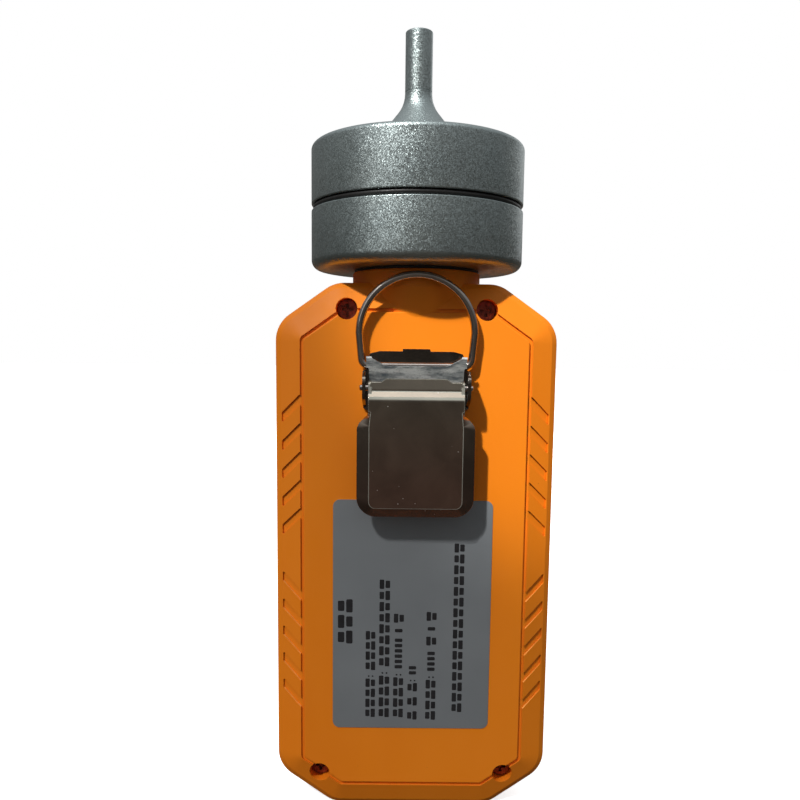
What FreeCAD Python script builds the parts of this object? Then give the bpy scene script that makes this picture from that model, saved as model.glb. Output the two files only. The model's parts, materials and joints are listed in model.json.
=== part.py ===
import FreeCAD, Part
import math
import os
import re
from types import SimpleNamespace

from FreeCAD import Placement, Rotation, Vector

# Portable gas detector, millimetres. X is across the case, Y runs from the belt clip (-Y) to the
# display (+Y), Z is up. The origin is under the sensor chamber's axis, at the case's bottom edge.

DIMENSIONS = {
    # case: an eight-sided outline, two half-shells that meet at the parting plane
    "case_width": 71.0,
    "case_height": 138.0,
    "rear_panel": -15.0,
    "front_panel": 16.0,
    "parting": 1.0,
    "corner_cut_width": 14.8,
    "corner_cut_height": 10.4,
    "corner_round": 8.0,
    "panel_round": 1.2,
    "wall": 2.2,
    "rim_inset": 1.3,
    "rim_depth": 3.1,
    "rim_step": 1.0,
    "band_width": 6.4,
    "band_step": 0.25,
    "groove_width": 0.85,
    "groove_depth": 0.5,
    "panel_edge": 0.25,
    "inner_step": 2.2,
    "seal_inset": 0.7,
    "seal_width": 0.8,
    "seal_depth": 1.0,
    # slanted grip channels in the bevelled band
    "channel_count": 5,
    "channel_pitch": 7.25,
    "channel_start": 12.3,
    "channel_height": 2.65,
    "channel_drop": 4.9,
    "channel_from": -0.1,
    "channel_to": 5.15,
    "channel_depth": 0.5,
    # case screws
    "top_screw_x": 17.5,
    "top_screw_z": 131.5,
    "low_screw_x": 24.3,
    "low_screw_z": 9.7,
    "well_radius": 2.7,
    "well_floor": -8.6,
    "boss_radius": 4.5,
    "head_radius": 2.45,
    "head_height": 1.9,
    "shank_radius": 1.45,
    "shank_clearance": 0.1,
    "screw_end": 10.5,
    # neck and sensor chamber, round about Z
    "neck_radius": 16.7,
    "neck_foot_radius": 15.0,
    "neck_foot": 129.6,
    "neck_top": 141.4,
    "neck_bore": 7.2,
    "gasket_height": 0.6,
    "gasket_radius": 16.3,
    "chamber_radius": 27.5,
    "chamber_floor": 2.0,
    "base_top": 156.9,
    "base_bottom_round": 2.4,
    "spigot_radius": 25.6,
    "spigot_bore": 24.3,
    "spigot_top": 165.6,
    "seal_gap": 1.5,
    "seal_radius": 0.72,
    "thread_clearance": 0.1,
    "cap_top": 173.3,
    "cap_step": 167.6,
    "cap_chamber": 23.6,
    "cap_ceiling": 171.3,
    "cap_edge_round": 1.3,
    "stud_radius": 7.0,
    "stud_bore": 3.0,
    "stud_end": 129.0,
    "nut_height": 4.0,
    "nut_radius": 10.3,
    "nozzle_radius": 3.5,
    "nozzle_bore": 2.0,
    "nozzle_top": 202.0,
    "nozzle_foot": 186.9,
    "flare_round": 8.0,
    "flare_angle": 39.0,
    "filter_floor": 168.9,
    "filter_height": 1.2,
    "filter_ring_bore": 21.0,
    "sensor_radius": 9.9,
    "sensor_offset": 14.1,
    "sensor_floor": 146.0,
    "sensor_top": 161.0,
    "board_thickness": 1.6,
    # belt clip, carried by the rear panel
    "clip_offset": 0.0,
    "clip_plate": 1.0,
    "clip_half_width": 11.6,
    "clip_low": 84.0,
    "clip_top": 121.1,
    "clip_tab_half_width": 3.4,
    "clip_tab_height": 0.6,
    "ear_inner": 12.4,
    "ear_outer": 13.2,
    "ear_low": 107.0,
    "ear_high": 116.3,
    "ear_reach": 2.3,
    "pin_y": -20.5,
    "pin_z": 112.2,
    "pin_radius": 0.75,
    "pin_half_length": 13.9,
    "pin_clearance": 0.07,
    "clip_screw_low": 90.0,
    "clip_screw_high": 102.0,
    "keeper_low": 98.0,
    "keeper_sheet": 0.8,
    "keeper_bend": 113.0,
    "keeper_rise": 6.47,
    "keeper_lean": 4.1,
    "keeper_half_width": 12.3,
    "keeper_foot_half_width": 11.7,
    "keeper_ear_low": 117.0,
    "lever_front": -23.5,
    "lever_sheet": 0.9,
    "lever_bevel": 2.0,
    "lever_rim": 0.6,
    "lever_low": 80.4,
    "lever_half_width": 14.5,
    "lever_neck_half": 11.7,
    "lever_corner": 4.8,
    "crown_low": 82.8,
    "crown_half_width": 11.4,
    "lever_shoulder_low": 103.0,
    "lever_shoulder_high": 105.9,
    "lever_plate_top": 108.5,
    # D-ring
    "ring_wire": 0.92,
    "ring_axis_y": -17.1,
    "ring_axis_z": 117.5,
    "ring_lean": 3.0,
    "ring_arch_radius": 14.2,
    "ring_leg": 7.98,
    "ring_leg_foot": 13.5,
    "ring_corner": 1.8,
    # rating label
    "label_width": 40.8,
    "label_height": 60.9,
    "label_low": 22.6,
    "label_offset": -0.35,
    "label_round": 1.8,
    "label_thickness": 0.15,
    # front panel
    "overlay_half_width": 25.8,
    "overlay_low": 44.0,
    "overlay_high": 123.0,
    "overlay_thickness": 0.4,
    "overlay_round": 3.0,
    "window_half_width": 23.5,
    "window_low": 74.5,
    "window_high": 112.5,
    "window_thickness": 1.6,
    "window_margin": 2.0,
    "lens_half_width": 12.0,
    "lens_low": 115.0,
    "lens_high": 119.0,
    "lens_proud": 0.4,
    "button_pitch": 12.4,
    "button_z": 58.0,
    "button_width": 9.6,
    "button_height": 8.0,
    "button_round": 2.5,
    "button_gap": 0.2,
    "button_proud": 1.0,
    "button_flange": 1.0,
    "grille_z": 27.0,
    "grille_pitch": 3.0,
    "grille_radius": 0.8,
    # inside
    "board_half_width": 27.0,
    "board_low": 16.0,
    "board_high": 122.0,
    "board_rear": 6.4,
    "board_boss_x": 24.0,
    "board_boss_low": 20.0,
    "board_boss_high": 118.0,
    "battery_half_width": 19.2,
    "battery_low": 18.8,
    "battery_high": 82.2,
    "battery_front": -0.5,
    "tray_gap": 0.6,
    "tray_wall": 1.2,
    "tray_front": -3.0,
    "pump_left": -26.0,
    "pump_right": -8.0,
    "pump_rear": -8.0,
    "pump_front": 4.0,
    "pump_low": 105.0,
    "pump_high": 121.0,
    "hose_radius": 2.0,
    "hose_bore": 1.0,
    "hose_bend": 6.0,
    "hose_low": 116.0,
    "exhaust_y": -4.0,
    "exhaust_z": 112.0,
    # charging port in the right-hand wall
    "port_low": 31.0,
    "port_high": 45.0,
    "port_front": 12.0,
    "port_rear": 4.0,
    "port_depth": 2.7,
    "flap_thickness": 2.4,
    "flap_gap": 0.3,
    "flap_pin_radius": 0.5,
}

doc = FreeCAD.newDocument("gas_detector")
sheet = doc.addObject("Spreadsheet::Sheet", "dims")
for row, (alias, number) in enumerate(DIMENSIONS.items(), start=1):
    sheet.set(f"A{row}", alias)
    sheet.set(f"B{row}", str(number))
    sheet.setAlias(f"B{row}", alias)
doc.recompute()
dim = SimpleNamespace(**{alias: float(sheet.get(alias)) for alias in DIMENSIONS})
parts = []

# Sketch planes by the axis they are square to: the origin plane's role, the sign between the
# axis and the plane's normal, and the property that makes a pad run up the axis.
PLANES = {"x": ("YZ_Plane", 1, False), "y": ("XZ_Plane", -1, True), "z": ("XY_Plane", 1, False)}


def bind(owner, target, text):
    """Set a property to an expression in the sheet's names."""
    owner.setExpression(target, re.sub(r"[a-z_]*[a-z]\b(?!\()", r"dims.\g<0>", text))


def part(owner, label):
    """Name an object as one of the detector's pieces."""
    owner.Label = label
    parts.append(owner)
    return owner


# ---- outlines -------------------------------------------------------------------------------


def loop(corners):
    """Closed outline through corners (u, v, round radius)."""
    points = [Vector(u, v, 0) for u, v, _ in corners]
    starts, ends, arcs = [], [], []
    for index, (_, _, radius) in enumerate(corners):
        here = points[index]
        back = (points[index - 1] - here).normalize()
        ahead = (points[(index + 1) % len(points)] - here).normalize()
        half = back.getAngle(ahead) / 2
        reach = radius / math.tan(half)
        starts.append(here + back * reach)
        ends.append(here + ahead * reach)
        if radius:
            centre = here + (back + ahead).normalize() * (radius / math.sin(half))
            arcs.append(arc(centre, starts[-1], ends[-1], (back + ahead).normalize() * -1))
    lines = [
        Part.LineSegment(ends[index - 1], starts[index])
        for index in range(len(corners))
        if ends[index - 1].distanceToPoint(starts[index]) > 1e-6
    ]
    return lines + arcs


def arc(centre, start, end, outward):
    """Arc between two points, on the side of the centre that outward points to."""
    radius = start.distanceToPoint(centre)
    angles = [math.atan2(p.y - centre.y, p.x - centre.x) for p in (start, end)]
    middle = math.atan2(outward.y, outward.x)
    first, last = angles
    if (middle - first) % (2 * math.pi) > (last - first) % (2 * math.pi):
        first, last = last, first
    if last < first:
        last += 2 * math.pi
    return Part.ArcOfCircle(Part.Circle(centre, Vector(0, 0, 1), radius), first, last)


def rectangle(low_u, low_v, high_u, high_v, radius=0.0):
    corners = ((low_u, low_v), (high_u, low_v), (high_u, high_v), (low_u, high_v))
    return loop([(u, v, radius) for u, v in corners])


def circle(u, v, radius):
    return [Part.Circle(Vector(u, v, 0), Vector(0, 0, 1), radius)]


def case_outline(inset):
    """The case's eight-sided outline, moved in by inset."""
    slope = math.hypot(dim.corner_cut_width, dim.corner_cut_height)
    normal_x = dim.corner_cut_height / slope
    normal_z = dim.corner_cut_width / slope
    shrink = inset * (normal_x + normal_z - 1)
    cut_x = dim.corner_cut_width - shrink / normal_x
    cut_z = dim.corner_cut_height - shrink / normal_z
    side = dim.case_width / 2 - inset
    low, high = inset, dim.case_height - inset
    radius = max(dim.corner_round - inset, dim.panel_round)
    right = [
        (side - cut_x, low),
        (side, low + cut_z),
        (side, high - cut_z),
        (side - cut_x, high),
    ]
    left = [(-x, z) for x, z in reversed(right)]
    return loop([(x, z, radius) for x, z in right + left])


# ---- features -------------------------------------------------------------------------------


def new_body(label, offset_x=None):
    body = part(doc.addObject("PartDesign::Body", label), label)
    if offset_x:
        bind(body, "Placement.Base.x", offset_x)
    return body


def sketch_at(body, axis, position, loops):
    """Sketch square to an axis, at a position along it."""
    role, sign, _ = PLANES[axis]
    plane = next(f for f in body.Origin.OriginFeatures if f.Role == role)
    sketch = body.newObject("Sketcher::SketchObject", "outline")
    sketch.AttachmentSupport = [(plane, "")]
    sketch.MapMode = "FlatFace"
    bind(sketch, "AttachmentOffset.Base.z", position if sign > 0 else f"-({position})")
    for outline in loops:
        sketch.addGeometry(outline, False)
    return sketch


def pad(body, axis, low, high, *loops):
    """Add the loops' area between two positions on an axis."""
    sketch = sketch_at(body, axis, low, loops)
    feature = body.newObject("PartDesign::Pad", "pad")
    feature.Profile = sketch
    feature.Reversed = PLANES[axis][2]
    bind(feature, "Length", f"({high}) - ({low})")
    doc.recompute()


def pocket(body, axis, low, high, *loops):
    """Cut the loops' area away between two positions on an axis."""
    before = body.Shape.Volume
    sketch = sketch_at(body, axis, low, loops)
    feature = body.newObject("PartDesign::Pocket", "pocket")
    feature.Profile = sketch
    feature.Reversed = not PLANES[axis][2]
    bind(feature, "Length", f"({high}) - ({low})")
    doc.recompute()
    if not body.Shape.Volume < before:
        raise RuntimeError(f"a pocket in {body.Label} cuts nothing")


def loft(body, axis, low, low_loop, high, high_loop, kind="PartDesign::AdditiveLoft"):
    """Straight-sided blend between two outlines at two positions on an axis."""
    first = sketch_at(body, axis, low, [low_loop])
    second = sketch_at(body, axis, high, [high_loop])
    feature = body.newObject(kind, "loft")
    feature.Profile = first
    feature.Sections = [second]
    feature.Ruled = True
    doc.recompute()


def turn(body, *loops):
    """Solid of revolution about Z of loops drawn in (radius, z)."""
    sketch = sketch_at(body, "y", "0", loops)
    feature = body.newObject("PartDesign::Revolution", "turn")
    feature.Profile = sketch
    feature.ReferenceAxis = (sketch, ["V_Axis"])
    feature.Angle = 360.0
    doc.recompute()


def pipe(body, path, axis, position, *section):
    """Sweep a section, drawn square to an axis, along a path in the plane y = 0."""
    spine = sketch_at(body, "y", "0", [path])
    profile = sketch_at(body, axis, position, section)
    feature = body.newObject("PartDesign::AdditivePipe", "pipe")
    feature.Profile = profile
    feature.Spine = (spine, [f"Edge{n}" for n in range(1, len(path) + 1)])
    doc.recompute()


def round_edges(body, radius, chosen, kind="PartDesign::Fillet"):
    """Fillet the edges that the test picks from the body's current shape."""
    names = [f"Edge{n}" for n, edge in enumerate(body.Shape.Edges, start=1) if chosen(edge)]
    base = body.Tip
    feature = body.newObject(kind, "round")
    feature.Base = (base, names)
    bind(feature, "Radius" if kind == "PartDesign::Fillet" else "Size", radius)
    doc.recompute()


def lies_at(axis, position):
    """Test for edges that lie wholly at one position on an axis."""

    def test(edge):
        box = edge.BoundBox
        low, high = getattr(box, axis.upper() + "Min"), getattr(box, axis.upper() + "Max")
        return abs(low - position) < 1e-4 and abs(high - position) < 1e-4

    return test


# ---- plain solids ---------------------------------------------------------------------------


def block(name, x_span, y_span, z_span):
    """Box between low and high positions, given as expressions, on each axis."""
    box = doc.addObject("Part::Box", name)
    spans = (x_span, y_span, z_span)
    for size, axis, (low, high) in zip(("Length", "Width", "Height"), "xyz", spans):
        bind(box, size, f"({high}) - ({low})")
        bind(box, f"Placement.Base.{axis}", low)
    return box


ROD_TURNS = {
    "x": Rotation(Vector(0, 1, 0), 90),
    "y": Rotation(Vector(1, 0, 0), -90),
    "z": Rotation(),
}


def rod(name, axis, radius, span, centre):
    """Cylinder along an axis; centre gives the other two coordinates, in X, Y, Z order."""
    cylinder = doc.addObject("Part::Cylinder", name)
    cylinder.Placement = Placement(Vector(), ROD_TURNS[axis])
    others = [other for other in "xyz" if other != axis]
    bind(cylinder, "Radius", radius)
    bind(cylinder, "Height", f"({span[1]}) - ({span[0]})")
    bind(cylinder, f"Placement.Base.{axis}", span[0])
    for other, place in zip(others, centre):
        bind(cylinder, f"Placement.Base.{other}", place)
    return cylinder


def fuse(name, *solids):
    union = doc.addObject("Part::MultiFuse", name)
    union.Shapes = list(solids)
    union.Refine = True
    return union


def cut(name, base, *tools):
    difference = doc.addObject("Part::Cut", name)
    difference.Base = base
    difference.Tool = tools[0] if len(tools) == 1 else fuse(name + "_tool", *tools)
    return difference


def group(name, *solids):
    """Separate solids that share one node."""
    compound = doc.addObject("Part::Compound", name)
    compound.Links = list(solids)
    return compound


# ---- case -----------------------------------------------------------------------------------

SCREWS = [
    (sign * x, z)
    for x, z in ((dim.top_screw_x, dim.top_screw_z), (dim.low_screw_x, dim.low_screw_z))
    for sign in (-1, 1)
]
BUTTON_NAMES = ("power_button", "down_button", "up_button", "enter_button")
BUTTON_X = [(index - 1.5) * dim.button_pitch for index in range(len(BUTTON_NAMES))]


def shell(label, rear):
    """Half-shell: bevelled band, raised panel, hollow, half of the neck, screw bosses."""
    body = new_body(label)
    panel, sign = ("rear_panel", "+") if rear else ("front_panel", "-")
    levels = {
        "panel": panel,
        "groove": f"{panel} {sign} band_step {sign} groove_depth",
        "band": f"{panel} {sign} band_step",
        "rim": f"{panel} {sign} (rim_depth - rim_step)",
        "wall": f"{panel} {sign} rim_depth",
        "parting": "parting",
        "floor": f"{panel} {sign} 2 * wall",
        "deep_floor": f"{panel} {sign} inner_step",
    }

    def span(near, far):
        """Positions in rising order, between a level near the panel and one further in."""
        return (levels[near], levels[far]) if rear else (levels[far], levels[near])

    pad(body, "y", *span("wall", "parting"), case_outline(0))
    rim = case_outline(dim.rim_inset)
    band = case_outline(dim.band_width)
    loft(body, "y", levels["wall"], case_outline(0), levels["rim"], rim)
    loft(body, "y", levels["rim"], rim, levels["band"], band)
    pocket(body, "y", *span("band", "groove"), band)
    panel_outline = case_outline(dim.band_width + dim.groove_width)
    pad(body, "y", *span("panel", "groove"), panel_outline)
    panel_y = dim.rear_panel if rear else dim.front_panel
    round_edges(body, "panel_edge", lies_at("y", panel_y))
    neck(body, rear)
    pocket(body, "y", *span("floor", "parting"), case_outline(dim.wall))
    inner = case_outline(dim.band_width + dim.groove_width + 3)
    pocket(body, "y", *span("deep_floor", "parting"), inner)
    neck_bore = circle(0, 0, dim.neck_bore)
    pocket(body, "z", "case_height - 2 * wall", "neck_top + 1", neck_bore)
    pad(body, "y", *span("floor", "parting"), *screw_circles(dim.boss_radius))
    return body


def screw_circles(radius):
    return [circle(x, z, radius) for x, z in SCREWS]


def channels(body, rear):
    """Slanted channels in the band, two mirrored groups on each side."""
    drop = dim.rim_depth - dim.rim_step - dim.band_step
    slope = math.degrees(math.atan2(drop, dim.band_width - dim.rim_inset))
    face_y = dim.rear_panel + dim.band_step if rear else dim.front_panel - dim.band_step
    middle = dim.case_height / 2
    for side in (-1, 1):
        loops = []
        for index in range(int(dim.channel_count)):
            top = dim.channel_start + index * dim.channel_pitch
            for half in (-1, 1):
                offsets = (top, top - dim.channel_height)
                ends = [(dim.channel_from, z) for z in offsets]
                ends += [(dim.channel_to, z - dim.channel_drop) for z in reversed(offsets)]
                loops.append(loop([(side * u, middle + half * z, 0.25) for u, z in ends]))
        sketch = sketch_at(body, "y", "0", loops)
        sketch.setExpression("AttachmentOffset.Base.z", None)
        turn_sign = side if rear else -side
        sketch.AttachmentOffset = Placement(
            Vector(side * (dim.case_width / 2 - dim.band_width), 0, -face_y),
            Rotation(Vector(0, 1, 0), turn_sign * slope),
        )
        feature = body.newObject("PartDesign::Pocket", "channels")
        feature.Profile = sketch
        feature.Reversed = not rear
        bind(feature, "Length", "channel_depth")
        before = body.Shape.Volume
        doc.recompute()
        if not body.Shape.Volume < before:
            raise RuntimeError("the grip channels cut nothing")


def neck(body, rear):
    """This shell's half of the round neck, with a foot that runs out into the band."""
    foot = dim.neck_foot
    shoulder = dim.case_height - 1
    profile = [
        (0, foot, 0),
        (dim.neck_foot_radius, foot, 0),
        (dim.neck_radius, shoulder, 3.0),
        (dim.neck_radius, dim.neck_top, 0.4),
        (0, dim.neck_top, 0),
    ]
    turn(body, loop(profile))
    far = dim.case_width
    side = rectangle(-far, foot - 1, far, dim.neck_top + 1)
    if rear:
        pocket(body, "y", "parting", "parting + case_width", side)
    else:
        pocket(body, "y", "parting - case_width", "parting", side)


def make_rear_cover():
    body = shell("rear_cover", rear=True)
    pocket(body, "y", "rear_panel - 5", "well_floor", *screw_circles(dim.well_radius))
    holes = screw_circles(dim.shank_radius + dim.shank_clearance)
    pocket(body, "y", "well_floor - 1", "parting + 1", *holes)
    heights = (dim.clip_screw_low, dim.clip_screw_high)
    bosses = [circle(dim.clip_offset, z, 3.5) for z in heights]
    pad(body, "y", "rear_panel + inner_step", "-8.5", *bosses)
    holes = [circle(dim.clip_offset, z, 1.3) for z in heights]
    pocket(body, "y", "rear_panel - 1", "-9.5", *holes)
    groove = [case_outline(dim.seal_inset), case_outline(dim.seal_inset + dim.seal_width)]
    pocket(body, "y", "parting - seal_depth", "parting", *groove)
    vent = circle(dim.exhaust_y, dim.exhaust_z, 2.6)
    pocket(body, "x", "-case_width / 2 - 1", "-case_width / 2 + wall + 1", vent)
    channels(body, rear=True)


def make_front_cover():
    body = shell("front_cover", rear=False)
    holes = screw_circles(dim.shank_radius + dim.shank_clearance)
    pocket(body, "y", "parting - 1", "screw_end + 1", *holes)
    bosses = [circle(x, z, 3.0) for x, z in board_corners()]
    pad(body, "y", "board_rear + board_thickness", "front_panel - 1", *bosses)
    pilots = [circle(x, z, 1.15) for x, z in board_corners()]
    pocket(body, "y", "board_rear", "screw_end + 1", *pilots)
    pocket(body, "y", "front_panel - overlay_thickness", "front_panel + 1", overlay_outline(0.1))
    openings = [window_outline(0.1), lens_outline(0.1)]
    openings += [button_outline(x, dim.button_gap) for x in BUTTON_X]
    openings += [circle(x, z, dim.grille_radius) for x, z in grille_holes()]
    pocket(body, "y", "parting", "front_panel + 1", *openings)
    port_frame(body)
    channels(body, rear=False)


def port_frame(body):
    """Thick patch of the right-hand wall, with the flap's recess and the socket's slot."""
    side = dim.case_width / 2
    patch = rectangle(side - 4.7, dim.port_low - 3, side - 1, dim.port_high + 3)
    pad(body, "y", "port_rear - 1", "port_front + 0.5", patch)
    recess = rectangle(side - dim.port_depth, dim.port_low, side + 1, dim.port_high, 0.0)
    pocket(body, "y", "port_rear", "port_front", recess)
    slot = rectangle(7.8, 33.2, 11.4, 42.8, 1.2)
    pocket(body, "x", "case_width / 2 - 6", "case_width / 2 - port_depth + 0.1", slot)
    hinge = circle(flap_axis_x(), flap_axis_z(), dim.flap_pin_radius)
    pocket(body, "y", "port_rear - 0.9", "port_front + 0.5", hinge)


def overlay_outline(gap=0.0):
    half = dim.overlay_half_width + gap
    return rectangle(-half, dim.overlay_low - gap, half, dim.overlay_high + gap, dim.overlay_round)


def window_outline(gap=0.0):
    half = dim.window_half_width + gap
    return rectangle(-half, dim.window_low - gap, half, dim.window_high + gap, 1.5)


def lens_outline(gap=0.0):
    half = dim.lens_half_width + gap
    return rectangle(-half, dim.lens_low - gap, half, dim.lens_high + gap, 1.6)


def button_outline(x, gap=0.0):
    half_width = dim.button_width / 2 + gap
    half_height = dim.button_height / 2 + gap
    low, high = dim.button_z - half_height, dim.button_z + half_height
    return rectangle(x - half_width, low, x + half_width, high, dim.button_round + gap)


def grille_holes():
    """One hole in the middle and a ring of six."""
    ring = [math.radians(60 * step) for step in range(6)]
    around = [
        (dim.grille_pitch * math.cos(a), dim.grille_z + dim.grille_pitch * math.sin(a))
        for a in ring
    ]
    return [(0.0, dim.grille_z)] + around


def flap_axis_x():
    return dim.case_width / 2 - 0.1 - dim.flap_thickness / 2


def flap_axis_z():
    return dim.port_low + dim.flap_gap + dim.flap_thickness / 2


def make_case_seal():
    body = new_body("case_seal")
    outer = case_outline(dim.seal_inset)
    inner = case_outline(dim.seal_inset + dim.seal_width)
    pad(body, "y", "parting - seal_depth", "parting", outer, inner)
    gap = circle(0, 0, dim.neck_bore)
    pocket(body, "z", "case_height - 2 * wall", "neck_top", gap)


def make_case_screws():
    screws = []
    for number, (x, z) in enumerate(SCREWS, start=1):
        centre = (str(x), str(z))
        head_span = ("well_floor - head_height", "well_floor")
        head = rod(f"head_{number}", "y", "head_radius", head_span, centre)
        shank_span = ("well_floor", "screw_end")
        shank = rod(f"shank_{number}", "y", "shank_radius", shank_span, centre)
        slots = cross_slots(number, x, z, "well_floor - head_height")
        screws.append(cut(f"case_screw_{number}", fuse(f"blank_{number}", head, shank), *slots))
    part(group("screws", *screws), "case_screws")


def cross_slots(number, x, z, face):
    """Two crossed slots for a cross-head driver, open towards -Y at the head's face."""
    depth = (f"{face} - 1", f"{face} + 1.1")
    wide_x = (f"{x} - 1.5", f"{x} + 1.5")
    wide_z = (f"{z} - 1.5", f"{z} + 1.5")
    slim_x = (f"{x} - 0.4", f"{x} + 0.4")
    slim_z = (f"{z} - 0.4", f"{z} + 0.4")
    return (
        block(f"slot_across_{number}", wide_x, depth, slim_z),
        block(f"slot_up_{number}", slim_x, depth, wide_z),
    )


# ---- sensor chamber -------------------------------------------------------------------------

CHAMBER_LOW = "neck_top + gasket_height"


def make_neck_gasket():
    ring = rod("gasket_disc", "z", "gasket_radius", ("neck_top", CHAMBER_LOW), ("0", "0"))
    hole = rod("gasket_hole", "z", "neck_bore", ("neck_top - 1", "neck_top + 2"), ("0", "0"))
    part(cut("gasket", ring, hole), "neck_gasket")


def make_chamber_base():
    body = new_body("chamber_base")
    low = dim.neck_top + dim.gasket_height
    floor = low + dim.chamber_floor
    turn(
        body,
        loop(
            [
                (dim.stud_bore, dim.stud_end, 0),
                (dim.stud_radius, dim.stud_end, 0.4),
                (dim.stud_radius, low, 0),
                (dim.chamber_radius, low, dim.base_bottom_round),
                (dim.chamber_radius, dim.base_top, 0.3),
                (dim.spigot_radius, dim.base_top, 0),
                (dim.spigot_radius, dim.spigot_top, 0.4),
                (dim.spigot_bore, dim.spigot_top, 0),
                (dim.spigot_bore, floor, 0.5),
                (dim.stud_bore, floor, 0),
            ]
        ),
    )


def make_chamber_nut():
    low, high = "case_height - wall - nut_height", "case_height - wall"
    nut = doc.addObject("Part::Prism", "nut_blank")
    nut.Polygon = 6
    bind(nut, "Circumradius", "nut_radius")
    bind(nut, "Height", "nut_height")
    bind(nut, "Placement.Base.z", low)
    thread = rod("nut_thread", "z", "stud_radius + thread_clearance", (low, high), ("0", "0"))
    part(cut("nut", nut, thread), "chamber_nut")


def make_chamber_cap():
    """Screw cap with a hollow nozzle that flares into its top face."""
    body = new_body("chamber_cap")
    inner = dim.spigot_radius + dim.thread_clearance
    low = dim.base_top + dim.seal_gap
    angle = math.radians(dim.flare_angle)
    arc_end_r = dim.nozzle_radius + dim.flare_round * (1 - math.cos(angle))
    arc_end_z = dim.nozzle_foot - dim.flare_round * math.sin(angle)
    foot_r = arc_end_r + (arc_end_z - dim.cap_top) * math.tan(angle)
    bend_z = dim.nozzle_foot - dim.flare_round * math.tan(angle / 2)
    turn(
        body,
        loop(
            [
                (inner, low, 0.2),
                (dim.chamber_radius, low, 0.3),
                (dim.chamber_radius, dim.cap_top, dim.cap_edge_round),
                (foot_r, dim.cap_top, 2.5),
                (dim.nozzle_radius, bend_z, dim.flare_round),
                (dim.nozzle_radius, dim.nozzle_top, 0.35),
                (dim.nozzle_bore, dim.nozzle_top, 0.35),
                (dim.nozzle_bore, dim.cap_ceiling, 0),
                (dim.cap_chamber, dim.cap_ceiling, 0.4),
                (dim.cap_chamber, dim.cap_step, 0),
                (inner, dim.cap_step, 0.3),
            ]
        ),
    )


def make_chamber_seal():
    ring = doc.addObject("Part::Torus", "seal_ring")
    bind(ring, "Radius1", "spigot_radius + seal_radius + 0.05")
    bind(ring, "Radius2", "seal_radius")
    bind(ring, "Placement.Base.z", "base_top + seal_gap / 2")
    part(ring, "chamber_seal")


def make_filter():
    top = "filter_floor + filter_height"
    disc = rod("disc", "z", "cap_chamber - 0.2", ("filter_floor", top), ("0", "0"))
    part(disc, "dust_filter")
    span = ("cap_step + 0.1", "filter_floor - 0.05")
    ring = rod("ring_disc", "z", "cap_chamber - 0.1", span, ("0", "0"))
    hole = rod("ring_hole", "z", "filter_ring_bore", span, ("0", "0"))
    part(cut("retainer", ring, hole), "filter_ring")


def make_sensors():
    names = (
        "oxygen_sensor",
        "carbon_monoxide_sensor",
        "hydrogen_sulfide_sensor",
        "combustible_sensor",
    )
    centres = []
    for index, name in enumerate(names):
        angle = math.radians(45 + 90 * index)
        x, y = (dim.sensor_offset * f(angle) for f in (math.cos, math.sin))
        centre = (str(x), str(y))
        centres.append(centre)
        can = rod(f"can_{index}", "z", "sensor_radius", ("sensor_floor", "sensor_top"), centre)
        inlet_span = ("sensor_top - 0.6", "sensor_top + 1")
        inlet = rod(f"inlet_{index}", "z", "sensor_radius * 0.55", inlet_span, centre)
        part(cut(f"sensor_{index}", can, inlet), name)
    low = f"{CHAMBER_LOW} + chamber_floor + 0.2"
    disc = rod("disc_blank", "z", "spigot_bore - 0.3", (low, "sensor_floor"), ("0", "0"))
    hole = rod("disc_hole", "z", "stud_bore", (low, "sensor_floor"), ("0", "0"))
    part(cut("disc_board", disc, hole), "sensor_board")
    span = ("sensor_top", "sensor_top + 1.2")
    foam = rod("foam_blank", "z", "spigot_bore - 0.3", span, ("0", "0"))
    holes = [
        rod(f"foam_hole_{n}", "z", "sensor_radius * 0.6", span, centre)
        for n, centre in enumerate(centres)
    ]
    part(cut("foam", foam, *holes), "sensor_gasket")


# ---- belt clip ------------------------------------------------------------------------------


def mirrored(half):
    """Close an outline whose right half is given from the bottom up."""
    return half + [(-x, z, radius) for x, z, radius in reversed(half)]


def make_clip_base():
    """Back plate with two ears folded forward to carry the hinge pin."""
    body = new_body("clip_base", "clip_offset")
    outline = [
        (dim.clip_half_width - 2, dim.clip_low, 0),
        (dim.clip_half_width, dim.clip_low + 2, 0),
        (dim.clip_half_width, dim.ear_low - 1, 0.5),
        (dim.ear_outer, dim.ear_low, 0.2),
        (dim.ear_outer, dim.ear_high, 0.2),
        (dim.clip_half_width, dim.ear_high + 0.9, 0.5),
        (dim.clip_half_width, dim.clip_top - 0.6, 0.3),
        (dim.clip_half_width - 2.4, dim.clip_top, 2.0),
        (dim.clip_tab_half_width, dim.clip_top, 0.2),
        (dim.clip_tab_half_width, dim.clip_top + dim.clip_tab_height, 0.2),
    ]
    pad(body, "y", "rear_panel - clip_plate", "rear_panel", loop(mirrored(outline)))
    root = dim.rear_panel - 0.2
    nose = dim.pin_y - dim.ear_reach
    ear = [
        (root, dim.ear_low, 0),
        (nose, dim.pin_z - 2.6, 2.1),
        (nose, dim.pin_z + 2.6, 2.1),
        (dim.pin_y + 1, dim.ear_high, 1.0),
        (root, dim.ear_high, 0),
    ]
    pad(body, "x", "ear_inner", "ear_outer", loop(ear))
    pad(body, "x", "-ear_outer", "-ear_inner", loop(ear))
    pin_hole = circle(dim.pin_y, dim.pin_z, dim.pin_radius)
    pocket(body, "x", "-ear_outer - 1", "ear_outer + 1", pin_hole)
    for z in (dim.clip_screw_low, dim.clip_screw_high):
        pocket(body, "y", "rear_panel - 3", "rear_panel", circle(0, z, 1.4))


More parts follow.
